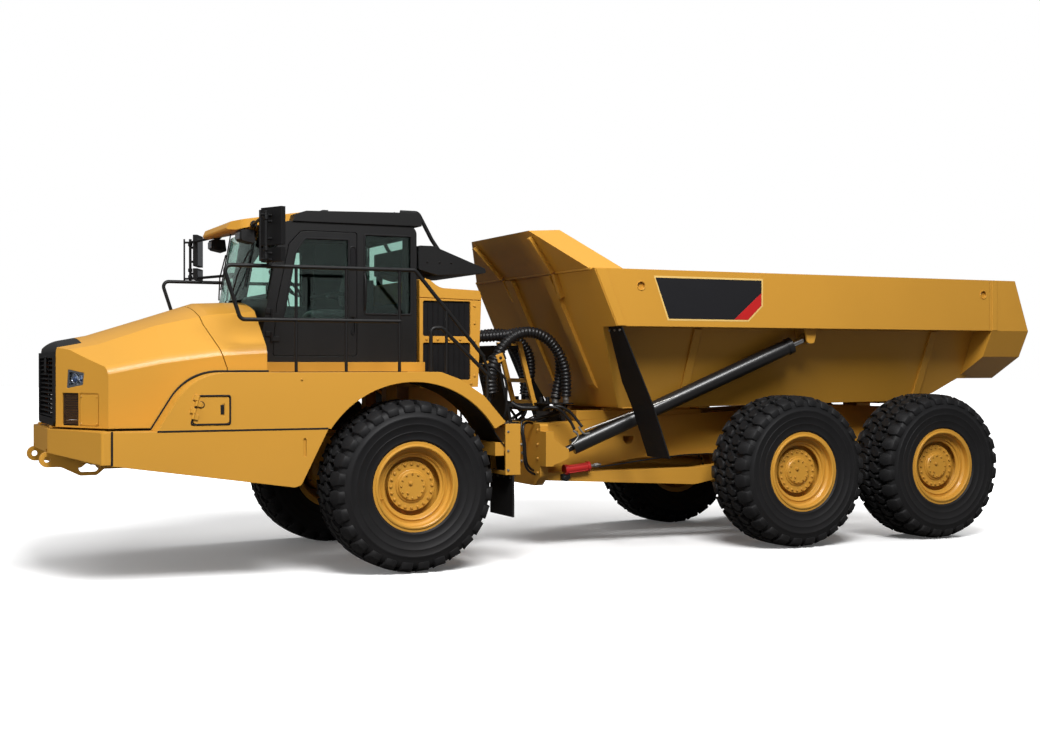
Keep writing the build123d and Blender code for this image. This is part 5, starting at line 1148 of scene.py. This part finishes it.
def hose_fittings():
    """Collars, clamps and the bracket that carry the hoses on the hitch tower, and the tower's ladder frame."""
    collars = []
    for x, y, low, high in ((-2.20, 0.40, 1.655, 1.74), (-2.254, 0.56, 1.69, 1.77)):
        collars += [(add_rod, (x, y, low), (x, y, high), 0.040, 24),
                    (add_rod, (x, y, low - 0.04), (x, y, low), 0.032, 6),
                    (add_rod, (x, y, high), (x, y, high + 0.012), 0.052, 24)]
    built("hose_collars", "hitch_yoke", "steel", collars, twin=True)
    built("hose_bracket", "hitch_yoke", "black", [
        (add_box, (-2.32, 0.24, 1.645), (-1.97, 0.62, 1.657)),
        (add_box, (-2.02, 0.24, 1.56), (-2.008, 0.62, 1.657)),
        *[(add_rod, (x, 0.33, 1.657), (x, 0.33, 1.72), 0.024, 20) for x in (-2.13, -2.05)]],
        twin=True, rounding=0.003)
    tilt = Matrix.Translation((-1.39, 0.56, 2.165)) @ Matrix.Rotation(radians(22), 4, "Y")
    built("hose_clamps", "front_frame", "black", [
        (add_box, (-0.085, -0.075, -0.04), (0.075, 0.062, 0.035), tilt),
        (add_rod, tilt @ Vector((-0.01, 0.084, 0)), tilt @ Vector((-0.01, 0.090, 0)), 0.018, 20)],
        twin=True, rounding=0.008)
    built("clamp_plates", "front_frame", "yellow", [
        (add_box, (-0.055, 0.06, -0.045), (0.035, 0.085, 0.045), tilt),
        (add_box, (0.03, -0.02, -0.012), (0.30, 0.02, 0.012), tilt)], twin=True, rounding=0.006)
    built("tower_ladder", "hitch_yoke", "yellow", [
        *[(add_prism, [(-2.026, y, 1.585), (-1.972, y, 1.585), (-1.762, y, 2.356), (-1.816, y, 2.356)],
           (0, 0.05, 0)) for y in (-0.305, 0.255)],
        *[(add_box, (-2.024 + shift, -0.303, z - 0.003), (-1.974 + shift, 0.303, z + 0.043))
          for z, shift in ((1.6403, 0.014), (1.8903, 0.084), (2.290, 0.193))]], rounding=0.003)


def rear_frame_fittings():
    """Rests for the load body on the rear frame's beams, and the block of the hoist valves."""
    built("body_rests", "rear_frame", "yellow", [
        (add_box, (-4.10, 0.365, 1.455), (-2.42, 0.495, 1.565)),
        (add_box, (-3.95, 0.375, 1.560), (-2.80, 0.485, 1.590)),
        (add_box, (-2.55, -0.01, 1.30), (-2.43, 0.37, 1.54))], twin=True, rounding=0.004)
    built("hoist_valve_block", "rear_frame", "iron", [
        (add_box, (-2.62, -0.2, 1.40), (-2.24, 0.2, 1.545)),
        *[(add_rod, (x, side * 0.2, 1.47), (x, side * 0.25, 1.47), 0.03, 6)
          for x in (-2.56, -2.46, -2.36) for side in (1, -1)],
        (add_box, (-2.58, -0.36, 1.36), (-2.48, 0.36, 1.40))], rounding=0.004)


def brake_cylinders():
    """The red parking brake cylinders on the rear frame's front end, with their clevises and brackets."""
    start, end = Vector((-2.155, 0.71, 0.905)), Vector((-2.47, 0.71, 0.938))
    way = (end - start).normalized()
    ties = [Vector((0, cos(a), sin(a))) * 0.052 for a in [pi / 4 + turn * pi / 2 for turn in range(4)]]
    built("brake_cylinders", "rear_frame", "red", [
        (add_rod, start, start + way * 0.035, 0.062, 32),
        (add_rod, start + way * 0.035, end - way * 0.03, 0.050, 32),
        (add_rod, end - way * 0.03, end, 0.060, 32),
        *[(add_rod, start + off, end + off, 0.007, 8) for off in ties]], twin=True)
    built("brake_clevises", "rear_frame", "steel", [
        (add_rod, end, end + way * 0.07, 0.018, 16),
        (add_rod, end + way * 0.07, end + way * 0.115, 0.026, 6),
        (add_rod, end + way * 0.115, end + way * 0.15, 0.014, 12)], twin=True)
    built("brake_brackets", "rear_frame", "black", [
        (add_box, (-2.22, 0.68, 0.80), (-2.12, 0.74, 0.86)),
        (add_box, (-2.21, 0.52, 0.80), (-2.13, 0.70, 0.84)),
        (add_rod, (-2.17, 0.675, 0.81), (-2.17, 0.745, 0.81), 0.032, 24)], twin=True, rounding=0.004)


class TRUCK_OT_hitch(bpy.types.Operator):
    """Runs the hoses and pipes over the hitch and fits what sits round it on the two frames"""
    bl_idname = "truck.hitch"
    bl_label = "Hitch hoses"

    def execute(self, context):
        corrugated_hoses()
        pipe_runs()
        hose_fittings()
        rear_frame_fittings()
        brake_cylinders()
        return {"FINISHED"}


# ---- Load body trim

# Corners (x, z) of the panels on the side rails, and the y from which and to which each stands out
PANEL_BLACK = [(-2.815, 3.043), (-4.198, 3.043), (-4.198, 2.903), (-3.831, 2.597), (-2.987, 2.597)]
PANEL_RED = [(-4.198, 2.903), (-4.198, 2.761), (-4.017, 2.597), (-3.831, 2.597)]
PANEL_EDGE = [(-2.795, 3.063), (-4.218, 3.063), (-4.218, 2.753), (-4.026, 2.577), (-2.972, 2.577)]
PANELS = [
    ("rail_panel_edges", PANEL_EDGE, "pale", 1.6075, 1.6095),
    ("rail_panels", PANEL_BLACK, "panel", 1.6085, 1.6115),
    ("rail_panel_slashes", PANEL_RED, "red", 1.6085, 1.6115),
]
RAIL_Y = 1.606
# Ribs on the headboard: start and end on the left side, the way they face
HEADBOARD_RIBS = [
    ((-1.71, 0.778, 3.522), (-2.030, 0.700, 3.140), (0.766, 0, -0.643)),
    ((-2.060, 0.698, 3.130), (-2.180, 0.643, 2.861), (0.914, 0, -0.406)),
]


def body_panels():
    """The blank black panels with a red slash on the load body's side rails."""
    for name, corners, look, y0, y1 in PANELS:
        panel = (add_prism, [(x, y0, z) for x, z in corners], (0, y1 - y0, 0))
        built(name, "dump_body", look, [panel], twin=True)


def body_trim():
    """Plates and rings on the rails, side braces, headboard ribs, weld seams and the flaps' bolts."""
    front = ((-2.075, 3.125), (-2.205, 3.125), (-2.45, 2.515), (-2.345, 2.515))
    rear = ((-7.60, 3.128), (-7.68, 3.128), (-7.68, 2.512), (-7.60, 2.512))
    (y0, z0), (y1, z1) = (0.905, 1.612), (1.289, 2.505)
    outward = Vector((0, z1 - z0, y0 - y1)).normalized() * 0.03
    built("load_body_trim", "dump_body", "yellow", [
        (add_prism, [(x, RAIL_Y, z) for x, z in front], (0, 0.012, 0)),
        *[(add_tube, circle((x, 1.609, 2.95), (0.048, 0, 0), (0, -1, 0)), 0.007, 8) for x in (-2.64, -7.46)],
        (add_prism, [(x, RAIL_Y, z) for x, z in rear], (0, 0.008, 0)),
        *[(add_prism, [(x - 0.05, y0, z0), (x + 0.05, y0, z0), (x + 0.05, y1, z1), (x - 0.05, y1, z1)], outward)
          for x in (-3.55, -6.95)]], twin=True, rounding=0.003)
    ribs = []
    for (x0, y0, z0), (x1, y1, z1), facing in HEADBOARD_RIBS:
        for side in (1, -1):
            a, b = Vector((x0, side * y0, z0)), Vector((x1, side * y1, z1))
            across = Vector((0, side * 0.03, 0))
            ribs.append((add_prism, [a - across, a + across, b + across, b - across], Vector(facing) * 0.055))
    ribs.append((add_box, (-2.096, -1.555, 3.112), (-2.036, 1.555, 3.136)))
    built("headboard_ribs", "dump_body", "yellow", ribs, rounding=0.004)
    built("load_body_welds", "dump_body", "yellow", [
        (add_tube, [(-2.80, 0.902, 1.600), (-7.2, 0.902, 1.655)], 0.009, 8),
        (add_tube, [(-2.55, 1.291, 2.508), (-7.5, 1.291, 2.508)], 0.009, 8)], twin=True)
    built("flap_bolts", "dump_body", "steel", [
        (add_bolt, (-2.40, y, 2.47), (0.9, 0, 0.4), 0.012) for y in (1.33, 1.45, 1.56)], twin=True)


class TRUCK_OT_body(bpy.types.Operator):
    """Fits the load body's panels, seams, welds and ribs"""
    bl_idname = "truck.body"
    bl_label = "Load body trim"

    def execute(self, context):
        body_panels()
        body_trim()
        return {"FINISHED"}


# ---- Bolts and small fittings

# Rows of bolts: place, body, look, twin, first bolt, step, how many, direction, radius
BOLT_ROWS = [
    ("cooling", "front_frame", "yellow", True, (-0.46, 0.800, 2.365), (-0.13, 0, 0), 5, (0, 1, 0), 0.011),
    ("cooling_foot", "front_frame", "yellow", True, (-0.46, 0.800, 1.885), (-0.13, 0, 0), 5, (0, 1, 0), 0.011),
    ("cooling_post", "front_frame", "yellow", True, (-1.02, 0.800, 1.97), (0, 0, 0.19), 5, (0, 1, 0), 0.011),
    ("fender_seam", "front_frame", "yellow", True, (1.16, 1.650, 1.95), (0, 0, -0.12), 1, (0, 1, 0), 0.010),
    ("flap_plate", "front_frame", "steel", True, (-1.088, 1.12, 0.92), (0, 0.155, 0), 4, (1, 0, 0), 0.012),
    ("ladder", "front_frame", "steel", True, (-1.04, 1.641, 1.00), (0, 0, 0.20), 3, (0, 1, 0), 0.010),
    ("saddle", "hitch_yoke", "steel", False, (-1.665, -0.26, 1.441), (0, 0.13, 0), 5, (0, 0, 1), 0.014),
    ("plate_rim", "rear_frame", "yellow", True, (-1.848, 0.66, 1.36), (0, 0, -0.16), 4, (1, 0, 0), 0.014),
    ("beam_row", "rear_frame", "yellow", True, (-2.42, 0.502, 1.34), (-0.12, 0, 0), 4, (0, 1, 0), 0.013),
    ("beam_mid", "rear_frame", "yellow", True, (-5.43, 0.502, 1.22), (-0.15, 0, 0), 5, (0, 1, 0), 0.014),
    ("tow_plate", "front_frame", "yellow", True, (2.83, 0.582, 1.20), (0.0, 0, 0.05), 2, (0, 1, 0), 0.013),
    ("guard", "front_frame", "black", True, (-0.50, 0.722, 3.20), (-0.14, 0, 0), 3, (0, 1, 0), 0.009),
]
# Bolts round an axis: place, body, look, twin, first bolt, axis through, direction, how many, radius
BOLT_RINGS = [
    ("roll_collar", "rear_frame", "steel", False, (-1.848, 0.0, 1.33), (-1.848, 0, 1.08), (1, 0, 0), 16, 0.015),
    ("hitch_cap", "hitch_yoke", "steel", False, (-1.45, 0.10, 1.422), (-1.45, 0, 1.422), (0, 0, 1), 8, 0.012),
    ("front_drum", "front_frame", "iron", True, (0.27, 1.178, 0.87), (0, 1.178, 0.87), (0, -1, 0), 12, 0.012),
    ("front_bowl", "front_frame", "iron", False, (0.332, 0.0, 0.96), (0.332, 0, 0.87), (1, 0, 0), 8, 0.011),
    ("middle_bowl", "rear_frame", "iron", False, (-4.384, 0.0, 0.96), (-4.384, 0, 0.87), (1, 0, 0), 8, 0.011),
    ("rear_bowl", "rear_frame", "iron", False, (-7.077, 0.0, 0.96), (-7.077, 0, 0.87), (-1, 0, 0), 8, 0.011),
    ("trunnion", "rear_frame", "steel", True, (-5.7305, 0.852, 1.14), (-5.7305, 0.852, 1.08), (0, 1, 0), 6, 0.013),
]
# Bolts of the slotted panels on the nose's slanted corners: s, height
PANEL_BOLTS = [(0.386, 1.532), (0.614, 1.532), (0.386, 1.788), (0.614, 1.788)]


def bolt_groups():
    """Every bolt of the tables, joined into one piece for each body and look."""
    groups = {}
    patterns = [(body, look, twin, start, normal, radius, ROW, {"Count": count, "Step": step})
                for _, body, look, twin, start, step, count, normal, radius in BOLT_ROWS]
    patterns += [(body, look, twin, start, normal, radius, RING,
                  {"Count": count, "Centre": centre, "Axis": normal})
                 for _, body, look, twin, start, centre, normal, count, radius in BOLT_RINGS]
    for body, look, twin, start, normal, radius, pattern, inputs in patterns:
        seed, bolts = bmesh.new(), bmesh.new()
        add_bolt(seed, start, normal, radius)
        add_copies(bolts, seed, pattern, look, **inputs)
        if twin:
            add_twin(bolts)
        mesh = bpy.data.meshes.new("bolts")
        bolts.to_mesh(mesh)
        bolts.free()
        groups.setdefault((body, look), bmesh.new()).from_mesh(mesh)
        bpy.data.meshes.remove(mesh)
    nose = groups.setdefault(("hood", "yellow"), bmesh.new())
    for s, z in PANEL_BOLTS:
        for side in (1, -1):
            mirror = Vector((1, side, 1))
            add_bolt(nose, corner_place(s, z, -0.002) * mirror, CORNER_NORMAL * mirror, 0.008)
    for (body, look), bm in groups.items():
        fitted(f"bolts_{body}_{look}", bm, body, look)


def grip_treads():
    """Grip plates with raised pips on the steps and along the fenders' walkway."""
    steps, deck = bmesh.new(), bmesh.new()
    for z in (0.99, 1.24, 1.48):
        for x in [-1.155 + k * 0.04 for k in range(4)]:
            seed = bmesh.new()
            add_rod(seed, (x, 1.29, z - 0.002), (x, 1.29, z + 0.006), 0.011, 8, 0.008)
            add_copies(steps, seed, ROW, "black", Count=8, Step=(0, 0.045, 0))
    for k in range(9):
        seed = bmesh.new()
        add_box(seed, (0.02, 1.10 + k * 0.05, 2.019), (0.06, 1.112 + k * 0.05, 2.024))
        add_copies(deck, seed, ROW, "black", Count=22, Step=(0.06, 0, 0))
    fitted("step_grips", steps, "front_frame", "black", twin=True)
    fitted("walkway_grips", deck, "front_frame", "black", twin=True)


def tail_parts():
    """Red lenses on the lamp boards."""
    lens = [(add_dome, Vector((-7.2455, y, 1.375)), Vector((-1, 0, 0)), 0.037, 0.012, 4) for y in (0.27, 0.59)]
    built("tail_lamp_lenses", "rear_frame", "red lamp", lens, twin=True)


class TRUCK_OT_fasteners(bpy.types.Operator):
    """Sets the bolts, grip pips and tail lamp lenses"""
    bl_idname = "truck.fasteners"
    bl_label = "Bolts and grips"

    def execute(self, context):
        bolt_groups()
        grip_treads()
        tail_parts()
        return {"FINISHED"}


# ---- Stage

# Lamps: name, place, what they point at, size across and along, share of the key lamp's power
LAMPS = [
    ("key lamp", (3.5, 11.5, 13.0), (-0.8, 0, 1.2), 8.0, 5.0, 1.0),
    ("top lamp", (-1.0, 0.5, 11.0), (-1.0, 0, 0), 14.0, 6.0, 0.08),
    ("front lamp", (15.0, 4.0, 4.0), (3.0, 0, 1.6), 5.0, 4.0, 0.17),
    ("rear lamp", (-12.0, -6.0, 8.0), (-2.0, 0, 1.5), 5.0, 5.0, 0.35),
]
FLOOR_REACH = 120
# Focal length in pixels and the photo's width in pixels
FOCAL_PIXELS, PHOTO_WIDTH = 1418.19, 1040
SENSOR_WIDTH = 36


class TRUCK_OT_stage(bpy.types.Operator):
    """Floor, lamps, sky and the camera"""
    bl_idname = "truck.stage"
    bl_label = "Stage"

    def execute(self, context):
        settings = context.scene.truck_stage
        build_floor(settings)
        build_lamps(settings)
        build_sky(settings)
        build_camera(context)
        context.scene.view_settings.view_transform = "Standard"
        return {"FINISHED"}


def build_floor(settings):
    """A floor that is white to the camera, and darker to the light that it throws back."""
    corners = [(-FLOOR_REACH, -FLOOR_REACH, 0), (FLOOR_REACH, -FLOOR_REACH, 0), (FLOOR_REACH, FLOOR_REACH, 0),
               (-FLOOR_REACH, FLOOR_REACH, 0)]
    mesh = bpy.data.meshes.new("floor")
    mesh.from_pydata(corners, [], [range(4)])
    floor = linked("floor", mesh)
    material = bpy.data.materials.new("studio floor")
    material.use_nodes = True
    tree = material.node_tree
    tree.nodes.remove(tree.nodes["Principled BSDF"])
    wire(tree, {
        "path": ("ShaderNodeLightPath", {}, {}),
        "seen": ("ShaderNodeBsdfDiffuse", {}, {"Color": (*settings.floor, 1)}),
        "lit": ("ShaderNodeBsdfDiffuse", {}, {"Color": (0.12, 0.115, 0.11, 1)}),
        "glow": ("ShaderNodeEmission", {}, {}),
        "both": ("ShaderNodeAddShader", {}, {}),
        "mix": ("ShaderNodeMixShader", {}, {}),
        "place": ("ShaderNodeTexCoord", {}, {}),
        "reach": ("ShaderNodeVectorMath", {"operation": "LENGTH"}, {}),
        "fade": ("ShaderNodeMapRange", {}, {"From Min": 5.0, "From Max": 11.0, "To Min": 0.06, "To Max": 1.0}),
    }, ["place.Object > reach.0", "reach.Value > fade.Value", "fade.Result > glow.Strength", "seen.0 > both.0",
        "glow.0 > both.1", "path.Is Camera Ray > mix.Fac", "lit.0 > mix.1", "both.0 > mix.2",
        "mix.0 > output.Surface"], output=tree.nodes["Material Output"])
    mesh.materials.append(material)


def build_lamps(settings):
    """The lamps of the table. Only the key lamp shows in reflections."""
    for name, place, target, across, along, share in LAMPS:
        data = bpy.data.lights.new(name, "AREA")
        data.shape = "RECTANGLE"
        data.size, data.size_y = across, along
        data.energy = settings.key * share
        lamp = linked(name, data)
        lamp.location = place
        lamp.visible_glossy = name == "key lamp"
        lamp.rotation_euler = (Vector(target) - Vector(place)).to_track_quat("-Z", "Y").to_euler()


def build_sky(settings):
    """A sky that is white to the camera and through glass, and lights the truck more from above."""
    world = bpy.data.worlds.new("studio")
    bpy.context.scene.world = world
    world.use_nodes = True
    tree = world.node_tree
    background = tree.nodes["Background"]
    background.inputs["Color"].default_value = (1, 1, 1, 1)
    wire(tree, {
        "path": ("ShaderNodeLightPath", {}, {}),
        "seen": ("ShaderNodeMath", {"operation": "MAXIMUM"}, {}),
        "strength": ("ShaderNodeMapRange", {}, {"To Max": 1.0}),
        "place": ("ShaderNodeTexCoord", {}, {}),
        "split": ("ShaderNodeSeparateXYZ", {}, {}),
        "rise": ("ShaderNodeMapRange", {},
                 {"From Min": 0.0, "To Min": settings.sky * 0.3, "To Max": settings.sky}),
    }, ["place.Generated > split.0", "split.Z > rise.Value", "rise.Result > strength.To Min",
        "path.Is Camera Ray > seen.0", "path.Is Transmission Ray > seen.1", "seen.0 > strength.Value",
        "strength.Result > background.Strength"], background=background)


def build_camera(context):
    """The camera that took the photo, as solved from it."""
    data = bpy.data.cameras.new("photo camera")
    data.sensor_width = SENSOR_WIDTH
    data.lens = FOCAL_PIXELS / PHOTO_WIDTH * SENSOR_WIDTH
    data.clip_end = 500
    camera = linked("photo camera", data)
    camera.location = (7.394, 15.002, 2.099)
    heading, tilt = radians(24.921), radians(0.237)
    look = Vector((-sin(heading) * cos(tilt), -cos(heading) * cos(tilt), -sin(tilt)))
    camera.rotation_euler = look.to_track_quat("-Z", "Y").to_euler()
    context.scene.camera = camera


class TRUCK_PT_panel(bpy.types.Panel):
    bl_idname = "TRUCK_PT_panel"
    bl_label = "Dump truck"
    bl_space_type = "VIEW_3D"
    bl_region_type = "UI"
    bl_category = "Dump truck"

    def draw(self, context):
        for settings in (context.scene.truck_paint, context.scene.truck_tyres, context.scene.truck_stage):
            for name in settings.__annotations__:
                self.layout.prop(settings, name)
        for operator in OPERATORS:
            self.layout.operator(operator.bl_idname)


SETTINGS = {"truck_paint": PaintSettings, "truck_tyres": TyreSettings, "truck_stage": StageSettings}
OPERATORS = [TRUCK_OT_paint, TRUCK_OT_tyres, TRUCK_OT_wheels, TRUCK_OT_nose, TRUCK_OT_cab, TRUCK_OT_seat,
             TRUCK_OT_hitch, TRUCK_OT_body, TRUCK_OT_fasteners, TRUCK_OT_stage]


def register():
    for cls in [*SETTINGS.values(), *OPERATORS, TRUCK_PT_panel]:
        bpy.utils.register_class(cls)
    for name, cls in SETTINGS.items():
        setattr(bpy.types.Scene, name, bpy.props.PointerProperty(type=cls))


def unregister():
    for name in SETTINGS:
        delattr(bpy.types.Scene, name)
    for cls in [TRUCK_PT_panel, *reversed(OPERATORS), *reversed(list(SETTINGS.values()))]:
        bpy.utils.unregister_class(cls)


def main():
    register()
    for operator in OPERATORS:
        group, name = operator.bl_idname.split(".")
        getattr(getattr(bpy.ops, group), name)()


if __name__ == "__main__":
    main()
